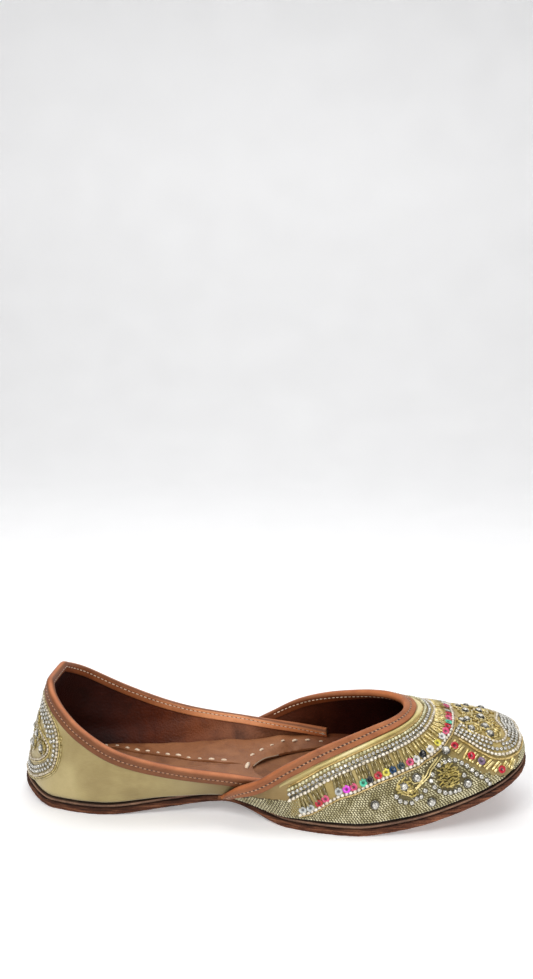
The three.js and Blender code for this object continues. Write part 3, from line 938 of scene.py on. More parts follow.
def build_inside():
    rim = [(0.4, 0), (0, 0.3), (0, 1.3), (0.4, FOOTBED_THICK)]
    points, faces = sweep(plate(inner_outline(FOOTBED_INSET), FOOTBED_LOW, rim, rows=300, across=56))
    shown = half_width_of(HEEL_WINDOW, points[:, 0]) - np.abs(points[:, 1] - sway(points[:, 0]))
    height = points[:, 2] - under_at(points[:, 0]) - FOOTBED_LOW
    points[:, 2] += HEEL_PAD_RISE * smooth_step(0, 1.0, shown) * (points[:, 0] < 113) * (height > 1)
    tints = np.ones((len(points), 4))
    tints[:, :3] = inside_shade(points[:, 0])
    insole = make_piece("insole_board", points, faces, [insole_leather], tints=tints)
    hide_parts("footbed")

    rim = [(0.3, 0), (0, 0.25), (0, 0.75), (0.3, SOCK_THICK)]
    points, faces = sweep(plate(inner_outline(SOCK_INSET), SOCK_LOW, rim, rows=200, across=28))
    tints = np.ones((len(points), 4))
    tints[:, :3] = inside_shade(points[:, 0])
    sock = make_piece("sock_leather", sock_lift(points), faces, [sock_leather], tints=tints)
    heel = window_cutter(window_outline(HEEL_WINDOW, True), "heel_window")
    fore = window_cutter(window_outline(FORE_WINDOW, False), "fore_window")
    cut(sock, [heel, fore])
    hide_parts("sock_cover")

    heap = Heap()
    stitch = stitch_shape(2.9, 1.3, 1.0)
    rows = [(HEEL_STITCHES, 1, HEEL_STITCH_PITCH), (NEAR_HEEL_STITCHES, -1, HEEL_STITCH_PITCH),
            (FORE_STITCHES, 1, FORE_STITCH_PITCH), (NEAR_FORE_STITCHES, -1, FORE_STITCH_PITCH)]
    for line, side, pitch in rows:
        add_stitch_row(heap, stitch, np.array(line) * (1, side), pitch)
    loose = sock_lift(place_on_sole([LOOSE_STITCH[0]], [LOOSE_STITCH[1]], SOCK_LOW + SOCK_THICK + 0.15))
    heap.add(stitch, loose, (1, 0.3, 0), (0, 0, 1))
    waist = place_on_sole([WAIST_STITCH[0]], [WAIST_STITCH[1]], SOCK_LOW + SOCK_THICK + 0.5)
    heap.add(stitch_shape(7.2, 2.2, 1.6), waist, (0.12, 1, 0), (0, 0, 1))
    raw_edge = rounded(FORE_WINDOW, steps=10)[2:24]
    raw_edge[:, 1] += sway(raw_edge[:, 0])
    line = sock_lift(place_on_sole(raw_edge[:, 0], raw_edge[:, 1], SOCK_LOW + SOCK_THICK - 0.25))
    heap.add_mesh(tube(line, np.tile((0.0, 0.0, 1.0), (len(line), 1)), 0.28, 6), (0.5, 0.5, 0.46, 1))
    heap.piece("sock_stitches", white_thread, "thread")


# Upper: fabric faces, linings and bindings

QUARTER_END = 0.981
VAMP_END = 0.985
CORNER_DROP = 8.0
RIM_DEPTH = 1.3
FACE_THICK = 0.9
LINING_FROM = 1.0
GROOVE_IN = 1.0
GROOVE_RISE = 1.1
TURN_UNDER = 4.0
SHEET_ROWS = 40


def creased(creases, station, v):
    """Height of the soft troughs and ridges at a place on a wall, in millimetres. A crease is
    (station, v, reach along, reach up, slant, height)."""
    height = 0 * station
    for s, up, along, reach, slant, amount in creases:
        across = (station - s - slant * (v - up)) / along
        height = height + amount * np.exp(-(across**2) - ((v - up) / reach) ** 2)
    return height


QUARTER_CREASES = [
    (-0.66, 0.5, 0.05, 0.5, 0.10, -0.45), (-0.60, 0.45, 0.035, 0.5, 0.08, 0.3),
    (-0.74, 0.5, 0.04, 0.5, 0.05, 0.3), (-0.45, 0.35, 0.06, 0.35, -0.12, -0.35),
    (-0.52, 0.75, 0.06, 0.3, -0.2, -0.25), (0.64, 0.5, 0.05, 0.5, 0.08, -0.4),
    (0.50, 0.4, 0.06, 0.4, -0.1, -0.3), (0.72, 0.5, 0.04, 0.5, 0.06, 0.25),
]
LINING_CREASES = [
    (0.42, 0.3, 0.10, 0.12, 0.2, 0.7), (0.36, 0.52, 0.09, 0.16, -0.3, -0.6), (0.55, 0.45, 0.05, 0.3, 0.25, 0.5),
    (0.63, 0.4, 0.04, 0.3, 0.2, -0.4), (0.70, 0.45, 0.035, 0.35, 0.15, 0.35), (0.2, 0.3, 0.08, 0.2, 0.1, -0.5),
    (-0.4, 0.35, 0.08, 0.2, -0.2, 0.6), (-0.6, 0.45, 0.05, 0.3, -0.25, -0.4),
]


def corner_drop(wall, stations):
    """At its rear corners the vamp's edge dives down to the sole."""
    if wall is quarter:
        return 0 * stations
    return CORNER_DROP * smooth_step(0.85, 1.0, np.abs(stations)) ** 1.3


def wall_sheet(wall, stations, outer, inner, top_depth, creases=(), rows=SHEET_ROWS, under=TURN_UNDER):
    """Loops of a sheet on a wall, between two offsets, turned under at the foot."""
    s = stations[:, None]
    top = wall.v_below_top(stations, top_depth + corner_drop(wall, stations))[:, None]
    v = top * np.linspace(1, 0, rows) ** 0.9
    length = wall.section_length(stations)[:, None]
    pulled = GROOVE_IN * np.exp(-((v * length / GROOVE_RISE) ** 2))
    bend = creased(creases, s, v) * smooth_step(0, 0.15, v) * smooth_step(0, 0.12, top - v)
    outside = wall.offset(s, v, outer - pulled * (outer > -0.5) + bend)
    inside = wall.offset(s, v[:, ::-1], np.minimum(inner + bend[:, ::-1], outer - 0.2))
    reach = wall.inset(stations)
    tucked = wall.foot(stations, reach + under - outer)[:, None]
    turned = wall.foot(stations, reach + under - outer)[:, None] + (0, 0, 0.9)
    return np.concatenate([outside, tucked, turned, inside[:, 1:]], 1)


def fold_section(outer_leg, inner_leg, groove=0.2):
    """The binding's section as (depth below the topline, offset), round the outside and back inside."""
    centre, out, half, rise = 1.6, BINDING_THICK + 0.05, 1.95, 1.6
    middle = out - half
    section = [(outer_leg, 0.05), (outer_leg, 0.6), (outer_leg - 0.12, 0.86), (outer_leg - 0.4, out)]
    for depth in np.linspace(outer_leg - 0.9, centre + 0.3, 12):
        section.append((depth, out - groove * np.exp(-(((depth - STITCH_DEPTH) / 0.45) ** 2))))
    for turn in np.linspace(0, np.pi, 15):
        section.append((centre - rise * np.sin(turn), middle + half * np.cos(turn)))
    for depth in np.linspace(centre + 0.4, inner_leg - 0.5, 8):
        section.append((depth, middle - half + groove * np.exp(-(((depth - INNER_STITCH_DEPTH) / 0.45) ** 2))))
    back = middle - half
    section += [(inner_leg - 0.15, back + 0.1), (inner_leg, back + 0.3), (inner_leg, back + 0.85)]
    for turn in np.linspace(np.pi, 0, 9):
        section.append((centre - 0.75 * np.sin(turn), middle + 1.05 * np.cos(turn)))
    return np.array(section)


STITCH_DEPTH = 3.4
INNER_STITCH_DEPTH = 2.1


def binding_loops(wall, stations, outer_leg, inner_leg, tuck=None):
    section = fold_section(outer_leg, inner_leg)
    s = np.repeat(stations[:, None], len(section), 1)
    offset = np.repeat(section[None, :, 1], len(stations), 0)
    if tuck is not None:
        offset = np.maximum(offset, tuck(stations)[:, None])
    depth = section[None, :, 0] + corner_drop(wall, stations)[:, None]
    return wall.below_top(s, depth, offset)


def binding_tints(wall, stations):
    """Painted light on the binding: a painted highlight along the outer half of the fold, painted shade
    in the stitch groove, and a darker lower edge on the outer leg. The quarter's outer leg is darker than
    its inner leg, which is painted shade toward the heel and a pinkish painted sheen toward the front; the
    vamp's inner leg is painted shade inside the vamp, and its outer leg is lighter toward the toe."""
    section = fold_section(BINDING_OUTER_LEG, BINDING_INNER_LEG)
    depth, offset = section.T
    # Painted highlight along the outer half of the fold
    fold_highlight = np.exp(-((depth / 0.7) ** 2)) * smooth_step(-2.0, -0.7, offset)
    # Painted shade in the stitch groove
    groove = np.exp(-(((depth - STITCH_DEPTH) / 0.7) ** 2)) * (offset > 0)
    edge = smooth_step(BINDING_OUTER_LEG - 0.5, BINDING_OUTER_LEG, depth)
    within = smooth_step(-1.4, -2.6, offset) * smooth_step(0.1, 1.2, depth)
    x = wall.face(stations, 1.0)[:, 0]
    # Tones of the legs: the quarter's inner leg carries painted shade toward the heel and a pinkish painted sheen
    # toward the front, and the vamp's inner leg is painted shade
    if wall is quarter:
        outer = np.tile((0.46, 0.42, 0.36), (len(x), 1))
        tones = [(0.65, 0.5, 0.4), (1.0, 0.9, 0.8), (1.8, 1.9, 2.0), (2.2, 2.5, 3.0), (2.1, 2.2, 2.3)]
        inner = np.stack([np.interp(x, (20, 55, 85, 103, 150), tone) for tone in zip(*tones)], -1)
        fold = (0.9, 0.86, 1.0)
    else:
        outer = np.interp(x, (145, 188), (0.74, 1.05))[:, None] * (1.0, 0.92, 0.84)
        inner = np.tile((0.4, 0.26, 0.15), (len(x), 1))
        fold = (0.4, 0.3, 0.25)
    # Darker in the stitch groove, as painted shade, and at the lower edge of the outer leg
    groove_and_edge_darkening = (1 - 0.14 * groove - 0.3 * edge)[:, None]
    shade = groove_and_edge_darkening * (outer[:, None] + (inner - outer)[:, None] * within[:, None])
    tint = shade + fold_highlight[:, None] * fold
    return np.concatenate([tint, np.ones(tint.shape[:2] + (1,))], -1).reshape(-1, 4)


def corner_tuck(stations):
    """At the vamp's rear corner the inner leg is trimmed back into the wall."""
    return -2.9 + 2.3 * smooth_step(0.80, 0.92, np.abs(stations))


def vamp_grid(stations):
    """Stations and v over the outer face of the vamp's sheet."""
    top = vamp.v_below_top(stations, RIM_DEPTH + corner_drop(vamp, stations))[:, None]
    v = top * np.linspace(1, 0, SHEET_ROWS) ** 0.9
    return np.broadcast_arrays(stations[:, None], v)


def vamp_choice(stations, count):
    """For each face of the vamp: satin (1) under the bands and the rays, in the toe panel and in the
    rear triangle, and woven metal (0) elsewhere."""
    s, v = vamp_grid((stations[:-1] + stations[1:]) / 2)
    s, v = s[:, :-1], (v[:, :-1] + v[:, 1:]) / 2
    places = vamp.face(s, v)
    flat = places.reshape(-1, 3)
    banded = (vamp.depth_at(s, v) < seat_depth(s) + LOWER_GAP) & (np.abs(s) < UPPER_BAND_END)
    triangle = (np.abs(s) >= 0.70) & (places[..., 2] > PLAIN_ABOVE)
    panel = in_panel(on_toe_board(flat), PANEL_OUTER) | near_any(flat, RAY_PLACES, 3.0)
    choice = np.zeros((len(stations) - 1, count), int)
    choice[:, :SHEET_ROWS - 1] = banded | triangle | panel.reshape(s.shape)
    return np.concatenate([choice.ravel(), [0, 0]])


def vamp_tints(stations, count):
    """The satin of the rear triangle and under the rays is darker than that under the bugles."""
    s, v = vamp_grid(stations)
    rays = near_any(vamp.face(s, v).reshape(-1, 3), RAY_PLACES, 3.4).reshape(s.shape)
    tints = np.ones((len(stations), count, 4))
    tints[:, :SHEET_ROWS, :3] = 1 - smooth_step(0.66, 0.74, np.abs(s))[..., None] * (0.46, 0.54, 0.58)
    tints[:, :SHEET_ROWS, :3] -= rays[..., None] * (0.42, 0.44, 0.5)
    return tints.reshape(-1, 4)


def lining_shade(x, name):
    """Painted shade and light on the lining: darkest at the heel and under the vamp, and lightest at the wings."""
    if name == "vamp":
        places, tones = (110, 140, 165), [(0.8, 0.7, 0.6), (0.5, 0.3, 0.2), (0.22, 0.08, 0.06)]
    else:
        places = (10, 35, 60, 85, 108, 150)
        tones = [(0.14, 0.03, 0.015), (0.22, 0.07, 0.03), (0.56, 0.25, 0.05), (1.1, 0.82, 0.46),
                 (1.5, 1.6, 1.5), (1.3, 1.3, 1.1)]
    return np.stack([np.interp(x, places, tone) for tone in zip(*tones)], -1)


def build_upper():
    q = np.linspace(-QUARTER_END, QUARTER_END, 361)
    w = np.linspace(-VAMP_END, VAMP_END, 361)
    fabric = []
    for name, wall, stations, creases in (("quarter", quarter, q, QUARTER_CREASES), ("vamp", vamp, w, ())):
        loops = wall_sheet(wall, stations, 0.0, -FACE_THICK, RIM_DEPTH, creases)
        points, faces = sweep(loops)
        tints = np.ones((len(points), 4))
        looks, choice = [gold_satin], None
        if name == "quarter":
            # Painted shade: the quarter's satin darkens toward its front
            tints[:, :3] = 1.02 - smooth_step(62, 112, points[:, :1]) * (0.58, 0.64, 0.73)
        if name == "vamp":
            looks, choice = [zari_ground, band_satin], vamp_choice(stations, loops.shape[1])
            tints = vamp_tints(stations, loops.shape[1])
        fabric.append(make_piece(name + "_fabric", points, faces, looks, True, choice, tints))
        inside = LINING_CREASES if name == "quarter" else ()
        loops = wall_sheet(wall, stations, -LINING_FROM, -WALL, RIM_DEPTH, inside, under=2.6)
        points, faces = sweep(loops)
        tints = np.ones((len(points), 4))
        tints[:, :3] = lining_shade(points[:, 0], name)
        fabric.append(make_piece(name + "_lining", points, faces, [lining_leather], tints=tints))
    for piece in fabric:
        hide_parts("upper")
    for name, wall, stations, tuck in (("quarter", quarter, q, None), ("vamp", vamp, w, corner_tuck)):
        loops = binding_loops(wall, stations, BINDING_OUTER_LEG, BINDING_INNER_LEG, tuck)
        points, faces = sweep(loops)
        tints = binding_tints(wall, stations)
        name = name + "_binding"
        piece = make_piece(name + "_leather", points, faces, [tan_leather], tints=tints)
        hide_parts(name)


def binding_stitch_row(heap, holes, wall, depth, lift, pitch, ends, shapes):
    """Machine stitches along a binding, and the needle holes between them."""
    stitch, hole, lean = shapes
    stations = np.linspace(-ends, ends, 900)
    v = wall.v_below_top(stations, depth + corner_drop(wall, stations))
    normals = wall.normal(stations, v)
    line = wall.face(stations, v) + normals * lift
    at, along, up = space_out(line, -normals if lift < 0 else normals, pitch)
    side = np.cross(up, along)
    heap.add(stitch, at, along + side * lean, up, 1 + 0.08 * np.sin(np.arange(len(at)) * 2.3))
    between = (at[:-1] + at[1:]) / 2
    # The needle holes are dark marks between the stitches: painted shade in the holes
    holes.add(hole, between - up[:-1] * 0.03, along[:-1] - side[:-1] * 0.5, up[:-1])


def build_binding_stitches():
    white, tan, holes = Heap(), Heap(), Heap()
    fine = (stitch_shape(1.6, 0.55, 0.42), stitch_shape(0.5, 0.4, 0.2), 0.0)
    plain = (stitch_shape(1.35, 0.5, 0.4), stitch_shape(0.7, 0.5, 0.2), 0.12)
    bold = (stitch_shape(1.3, 0.7, 0.6), stitch_shape(1.5, 0.85, 0.36), -0.4)
    binding_stitch_row(white, holes, quarter, INNER_STITCH_DEPTH, -2.9, 2.4, 0.975, fine)
    binding_stitch_row(white, holes, vamp, INNER_STITCH_DEPTH, -2.9, 2.4, 0.78, fine)
    binding_stitch_row(tan, holes, quarter, STITCH_DEPTH, 0.86, 2.2, 0.97, plain)
    binding_stitch_row(tan, holes, vamp, STITCH_DEPTH, 0.84, 2.15, 0.93, bold)
    for side in (1, -1):
        station = np.full(2, side * (QUARTER_END - 0.012))
        v = quarter.v_below_top(station, np.array([1.4, 2.6]))
        up = -quarter.normal(station, v)
        white.add(fine[0], quarter.face(station, v) + up * 2.95, (1, 0, 0), up)
    white.piece("inner_stitches", white_thread, "thread")
    tan.piece("outer_stitches", tan_thread, "thread")
    holes.piece("needle_holes", needle_hole_shade, "thread")


# Shapes of the trimmings

def seed_bead(radius=0.9, half_length=1.16, sides=10):
    """An oval glass bead on its thread, which runs along x."""
    t = np.linspace(-np.pi / 2, np.pi / 2, 7)
    profile = [(radius * math.cos(a) ** 0.7 if abs(a) < 1.5 else 0, half_length * math.sin(a)) for a in t]
    return lying(lathe(profile, sides))


def bugle(length, radius, sides=8):
    """A glass tube along x with dimpled ends."""
    half = length / 2
    profile = [
        (0, 0.3 - half), (radius * 0.45, 0.12 - half), (radius * 0.8, -half), (radius, 0.14 - half),
        (radius, half - 0.14), (radius * 0.8, half), (radius * 0.45, half - 0.12), (0, half - 0.3),
    ]
    return lying(lathe(profile, sides))


def crystal(radius, height=0.72, sides=8):
    """A faceted stone: a table, star facets, kites and a girdle."""
    turn = np.arange(sides) * 2 * np.pi / sides
    half = turn + np.pi / sides
    rings = [(1.0, 0.05, turn), (1.0, 0.32, turn), (0.80, 0.56, half), (0.50, height, turn)]
    points = [(radius * r * math.cos(t), radius * r * math.sin(t), radius * z) for r, z, ts in rings for t in ts]
    k = np.arange(sides)
    n = (k + 1) % sides
    girdle = np.stack([k, n, n + sides, k + sides], -1)
    kites = np.stack([k + sides, n + sides, k + 2 * sides], -1)
    kites_up = np.stack([n + sides, n + 2 * sides, n + 3 * sides, k + 2 * sides], -1)
    stars = np.stack([k + 2 * sides, n + 3 * sides, k + 3 * sides], -1)
    table = (k + 3 * sides)[None]
    base = k[::-1][None]
    points = np.array(points)
    return points, faced_out(points, [girdle, kites, kites_up, stars, table, base])


def cup(radius, sides=12):
    """The silver cup that holds a stone, with a rolled lip."""
    profile = [
        (0, 0), (radius * 1.08, 0), (radius * 1.2, radius * 0.2), (radius * 1.14, radius * 0.42),
        (radius * 1.02, radius * 0.4), (radius * 0.98, radius * 0.2), (0, radius * 0.12),
    ]
    return lathe(profile, sides)


def sequin(radius=2.0, sides=18):
    """A cupped plastic disc, whose small hole is filled by the knot that holds it."""
    profile = [
        (0, 0.0), (radius * 0.62, 0.06), (radius, 0.42),
        (radius * 0.99, 0.56), (radius * 0.6, 0.2), (radius * 0.27, 0.12), (radius * 0.2, 0.03), (0, 0.02),
    ]
    return lathe(profile, sides)


silver_heap, crystal_heap = Heap(), Heap()
gold_heap, pale_heap, bugle_heap = Heap(), Heap(), Heap()
sequin_heap, cord_heap, zari_heap = Heap(), Heap(), Heap()
bullion_heap, chain_heap = Heap(), Heap()
BEAD = seed_bead()
STONE = crystal(1.0)
CUP = cup(1.0)
SEQUIN = sequin()
# Painted light on the points of each shape: painted shade at the bead's ends, between beads; a painted reflection on
# the stone, its girdle dark and its points dark and bright by turns; and painted shade in the sequin's hole, darker
# toward its middle
BEAD_SHADES = 1 - 0.6 * np.abs(BEAD[0][:, 0] / BEAD[0][:, 0].max()) ** 3
STONE_SHADES = np.repeat([0.3, 0.55, 0.95, 1.0], 8) * np.tile([1.0, 0.45], 16)
SEQUIN_SHADES = smooth_step(0.35, 1.3, np.linalg.norm(SEQUIN[0][:, :2], axis=1)) * 0.85 + 0.15


def set_stones(at, up, radius, turn=0.0):
    """Stones in their cups, each turned a little from the last."""
    at, up = np.atleast_2d(at), np.atleast_2d(up)
    angle = turn + np.arange(len(at)) * 2.4
    along = np.column_stack([np.cos(angle), np.sin(angle) * 0.6, np.sin(angle)])
    wobble = 0.10 * np.column_stack([np.sin(angle * 1.7), np.cos(angle * 2.3), np.sin(angle * 0.9)])
    tipped = unit(up + wobble)
    crystal_heap.add(STONE, at + up * radius * 0.16, along, tipped, radius, shades=STONE_SHADES)
    silver_heap.add(CUP, at, along, tipped, radius)


def bead_row(heap, chart, line, pitch, size, lift=0.75, closed=False, tint=(1, 1, 1, 1)):
    at, along, up = on_chart(chart, line, lift * size, pitch, closed)
    wave = 1 + 0.07 * np.sin(np.arange(len(at)) * 1.9)
    heap.add(BEAD, at, along, up, size * wave, tint, BEAD_SHADES)


def stone_row(chart, line, pitch, radius, closed=False):
    at, _, up = on_chart(chart, line, 0.25, pitch, closed)
    set_stones(at, up, radius)


def cord_line(chart, line, radius, heap=None, twist=1.5, tint=(1, 1, 1, 1)):
    points, normals = chart(line)
    mesh = tube(points + normals * radius * 0.8, normals, radius, 8, twist, 2, 0.16)
    (heap or cord_heap).add_mesh(mesh, tint)


# Bands that follow the throat

BAND_STATIONS = (0, 0.1, 0.2, 0.4, 0.5, 0.588, 0.65, 0.70, 0.75)
BAND_STRETCH = (1.06, 1.0, 1.0, 1.0, 1.0, 1.06, 1.11, 1.13, 1.15)
BAND_SHIFT = (0.2, 0.5, 0.8, 0.7, 0.2, 0, 0, 0, 0)
UPPER_BAND_END = 0.712
BUGLE_BAND_END = 0.70
LOWER_BAND_END = 0.68
STRIP_START = 6.5
GOLD_ROW = 10.4
STONE_ROW = 12.6
SECOND_GOLD_ROW = 14.8
BUGLE_FROM = 15.7
LOWER_GAP = 2.2

SEQUIN_PAINT = {
    "silver": (200, 202, 198), "red": (206, 14, 44), "pink": (232, 84, 128), "magenta": (240, 70, 236),
    "green": (84, 216, 176), "black": (8, 8, 8), "yellow": (246, 232, 88), "blue": (24, 66, 104),
    "teal": (14, 50, 56), "white": (240, 238, 232), "clear": (196, 190, 180), "orange": (220, 110, 50),
    "purple": (70, 40, 80), "lilac": (140, 112, 140), "salmon": (226, 130, 120),
}
# Sequins of one side from the rear to the middle of the toe: station, and depth below the topline
SEQUIN_PLACES = [
    (0.672, 23.7), (0.647, 24.3), (0.62, 23.7), (0.6, 22.9), (0.563, 22.0), (0.542, 22.4), (0.523, 22.8),
    (0.495, 22.7), (0.475, 22.7), (0.448, 22.6), (0.423, 22.9), (0.402, 23.2), (0.37, 23.2), (0.335, 23.5),
    (0.31, 23.9), (0.283, 23.5), (0.253, 23.8), (0.218, 24.0), (0.185, 23.6), (0.155, 23.7), (0.126, 23.4),
    (0.097, 23.0), (0.067, 22.6), (0.037, 22.2), (0.008, 22.0),
]
NEAR_SEQUINS = (
    "silver silver red pink silver magenta pink green black red yellow blue teal pink white black "
    "white yellow white pink red green pink red silver").split()
FAR_SEQUINS = (
    "blue pink clear magenta clear red green orange red clear purple pink green salmon red black "
    "silver yellow pink red silver teal white pink").split()


def seat_depth(stations):
    """Depth of the line of sequins below the topline."""
    places = np.array(SEQUIN_PLACES[::-1])
    return np.interp(np.abs(stations), *places.T)


def below_band(depth, stations):
    stretch = np.interp(np.abs(stations), BAND_STATIONS, BAND_STRETCH)
    shift = np.interp(np.abs(stations), BAND_STATIONS, BAND_SHIFT)
    return np.column_stack([stations, depth * stretch + shift])


def band(depth, end):
    return below_band(depth, np.linspace(-end, end, 500))


def build_strip():
    """The pale satin piping between the binding and the bead rows."""
    s = np.linspace(-0.74, 0.74, 300)
    fade = 1 - smooth_step(0.5, 0.74, np.abs(s))
    wide = 1.7 + 1.5 * np.exp(-((s / 0.12) ** 2)) - 0.8 * (1 - fade)
    across = np.array([0, 0.08, 0.3, 0.5, 0.7, 0.92, 1.0])
    crown = np.array([0.02, 0.35, 0.62, 0.7, 0.62, 0.35, 0.02])
    depth = STRIP_START + wide[:, None] * across
    depth = depth * np.interp(np.abs(s), BAND_STATIONS, BAND_STRETCH)[:, None]
    stations = np.repeat(s[:, None], len(across), 1)
    outside = vamp.below_top(stations, depth, crown * (0.1 + 0.9 * fade[:, None]))
    inside = vamp.below_top(stations, depth, np.full(depth.shape, -0.2))
    points, faces = sweep(np.concatenate([outside, inside[:, ::-1]], 1))
    tints = np.ones((len(s), 2 * len(across), 4))
    tints[..., :3] = 1 - (1 - fade[:, None, None]) * np.array([0.42, 0.46, 0.55])
    make_piece("satin_piping", points, faces, [pale_satin], tints=tints.reshape(-1, 4))


def lower_band(gap):
    stations = np.linspace(-LOWER_BAND_END, LOWER_BAND_END, 500)
    return np.column_stack([stations, seat_depth(stations) + gap])


def build_bands():
    cord_line(vamp_chart, band(GOLD_ROW - 1.6, UPPER_BAND_END), 0.35, tint=(0.72, 0.56, 0.36, 1))
    bead_row(gold_heap, vamp_chart, band(GOLD_ROW - 0.4, UPPER_BAND_END), 1.9, 0.84)
    stone_row(vamp_chart, band(STONE_ROW - 0.55, UPPER_BAND_END), 2.1, 0.82)
    chain = band(STONE_ROW + 0.95, UPPER_BAND_END)
    for part in (chain[chain[:, 0] < -0.2], chain[chain[:, 0] > 0.2]):
        cord_line(vamp_chart, part, 0.4, chain_heap, twist=1.7)
    bead_row(pale_heap, vamp_chart, band(SECOND_GOLD_ROW - 0.3, UPPER_BAND_END), 2.05, 0.86)
    bead_row(pale_heap, vamp_chart, lower_band(LOWER_GAP), 2.05, 0.86)
    cord_line(vamp_chart, lower_band(LOWER_GAP + 1.25), 0.45, tint=(0.66, 0.54, 0.4, 1))


def build_bugles():
    """Pairs of bugles across the band, with a sequin at the foot of each pair."""
    near = np.array(SEQUIN_PLACES)
    far = near[:-1][::-1]
    stations = np.concatenate([-near[:, 0], far[:, 0]])
    seats = np.concatenate([near[:, 1], far[:, 1]])
    names = NEAR_SEQUINS + FAR_SEQUINS[::-1]
    groups = len(names)
    top, up = vamp_chart(below_band(BUGLE_FROM, stations))
    foot, _ = vamp_chart(np.column_stack([stations, seats - 1.1]))
    seat, seat_up = vamp_chart(np.column_stack([stations, seats]))
    line, _ = vamp_chart(np.column_stack([stations + 0.01, seat_depth(stations + 0.01)]))
    ahead = unit(line - seat)
    along = unit(foot - top)
    along = unit(along - ahead * ((along * ahead).sum(-1, keepdims=True) * 0.85))
    side = np.cross(up, along)
    tube_shape = bugle(5.9, 0.74)
    middle = foot - along * 2.95
    for n, offset in enumerate((-1.0, 0.9)):
        lean = along + side * (0.05 * np.sin(np.arange(groups) * 1.3 + n))[:, None]
        lifted = middle + up * 0.72 + side * offset
        # Painted light: the second tube of each pair is darker, as painted shade, and the bugles are lighter toward
        # the toe, as painted highlight; the small wave varies their tone from group to group
        toward_toe = 1 - smooth_step(0.2, 0.42, np.abs(stations))
        shade = (0.5, 0.38)[n] + 0.5 * toward_toe + 0.1 * np.sin(np.arange(groups) * 2.7 + n * 1.9)
        tint = np.column_stack([shade, shade, shade, np.ones(groups)])
        bugle_heap.add(tube_shape, lifted, lean, up, 1.0, tint)
    tint = np.array([paint(*SEQUIN_PAINT[name]) for name in names])
    tipped = unit(seat_up + 0.2 * side * np.sin(np.arange(groups) * 1.9)[:, None] + 0.1 * along)
    sequin_heap.add(SEQUIN, seat + seat_up * 0.7, along, tipped, 0.94, tint, SEQUIN_SHADES)


# Toe panel: half outlines on the toe board, (along, aside), and the stones in its cells

PANEL_OUTER = [
    (24.6, 18.6), (28.5, 20.2), (32.7, 21.8), (36.5, 23.2), (40.3, 23.9), (44.2, 24.1), (48.5, 23.1),
    (51.8, 21.4), (54.8, 18.2), (56.6, 12.6), (57.5, 6.0), (57.4, 2.0), (57.0, 0),
]
PANEL_INNER = [
    (27.4, 12.0), (29.5, 14.2), (32.3, 16.2), (36.0, 17.6), (39.4, 18.4), (42.4, 19.1), (45.4, 18.9),
    (48.0, 16.9), (49.4, 13.0), (48.6, 9.4), (47.2, 4.0), (46.4, 0),
]
# (along, aside, radius), a little off the middle
PANEL_STONES = [
    (27.7, -9.1, 1.25), (30.6, -6.9, 1.25), (31.2, 3.4, 1.35), (32.1, -14.1, 1.3), (38.2, -1.3, 1.5),
    (38.3, 6.0, 1.4), (39.0, -10.9, 1.45), (41.0, -15.7, 1.5), (28.6, 9.0, 1.25), (33.2, 13.2, 1.3),
    (41.2, 14.4, 1.5),
]
PANEL_CELLS = [(29.2, -8.0), (31.2, 3.4), (33.4, -13.6), (37.0, -2.2), (39.6, 6.6), (39.4, -9.9), (42.8, -15.2),
               (28.6, 9.6), (34.2, 13.4), (42.4, 14.2)]
CELL_RADIUS = 3.9


def panel_line(half):
    return rounded(mirrored(half), steps=10)


def hexagon(centre, radius):
    turn = np.arange(7) * np.pi / 3 + np.pi / 6
    return np.column_stack([centre[0] + radius * np.cos(turn), centre[1] + radius * np.sin(turn)])


def lay_bugles(chart, starts, ends, radius, lift=0.85, tint=(1, 1, 1, 1)):
    """A bugle from each start to each end, on a chart."""
    a, up = chart(starts)
    b, _ = chart(ends)
    length = np.linalg.norm(b - a, axis=1)
    for size in np.unique(np.round(length, 1)):
        same = np.abs(np.round(length, 1) - size) < 1e-6
        middle = (a[same] + b[same]) / 2 + up[same] * radius * lift
        bugle_heap.add(bugle(max(size - 0.3, 1.2), radius), middle, b[same] - a[same], up[same], 1.0, tint)


def inside(places, ring):
    """Whether each place lies inside a closed ring of points."""
    x, y = places[:, :1], places[:, 1:2]
    (x0, y0), (x1, y1) = ring.T, np.roll(ring, -1, 0).T
    rise = np.where(y1 == y0, 1e-9, y1 - y0)
    crossed = ((y0 > y) != (y1 > y)) & (x < x0 + (y - y0) * (x1 - x0) / rise)
    return crossed.sum(1) % 2 == 1


def in_panel(places, half):
    """Whether places on the toe board lie inside a half outline."""
    return inside(places, np.array(mirrored(half)))


def fill_with_stones(chart, outline, inner, distances, pitch, radius):
    """Rows of stones beside an outline, left out where they would reach the inner ring."""
    for distance in distances:
        line = beside(outline, distance)
        run = np.linalg.norm(np.diff(line, axis=0), axis=1).sum()
        places = resample(line, int(run / pitch))
        to_inner = np.linalg.norm(places[:, None] - inner[None], axis=-1).min(1)
        to_outline = np.linalg.norm(places[:, None] - outline[None], axis=-1).min(1)
        kept = inside(places, outline) & ~inside(places, inner) & (to_inner > 1.3)
        at, up = chart(places[kept & (to_outline > abs(distance) - 0.3)])
        set_stones(at + up * 0.25, up, radius)


def fill_with_bugles(inner):
    """Short bugles over the satin between the cells."""
    rows, columns = np.meshgrid(np.arange(30), np.arange(12), indexing="ij")
    start = np.column_stack([
        (24 + 3.1 * columns + 1.5 * (rows % 2)).ravel(), (-20 + 1.35 * rows).ravel()])
    end = start + (2.9, 0)
    kept = np.ones(len(start), bool)
    for places in (start, end, (start + end) / 2):
        to_cell = np.linalg.norm(places[:, None] - np.array(PANEL_CELLS)[None], axis=-1).min(1)
        to_inner = np.linalg.norm(places[:, None] - inner[None], axis=-1).min(1)
        kept &= inside(places, inner) & (to_cell > CELL_RADIUS + 0.1) & (to_inner > 1.0)
    lay_bugles(toe_chart, start[kept], end[kept], 0.6, tint=(0.8, 0.76, 0.62, 1))


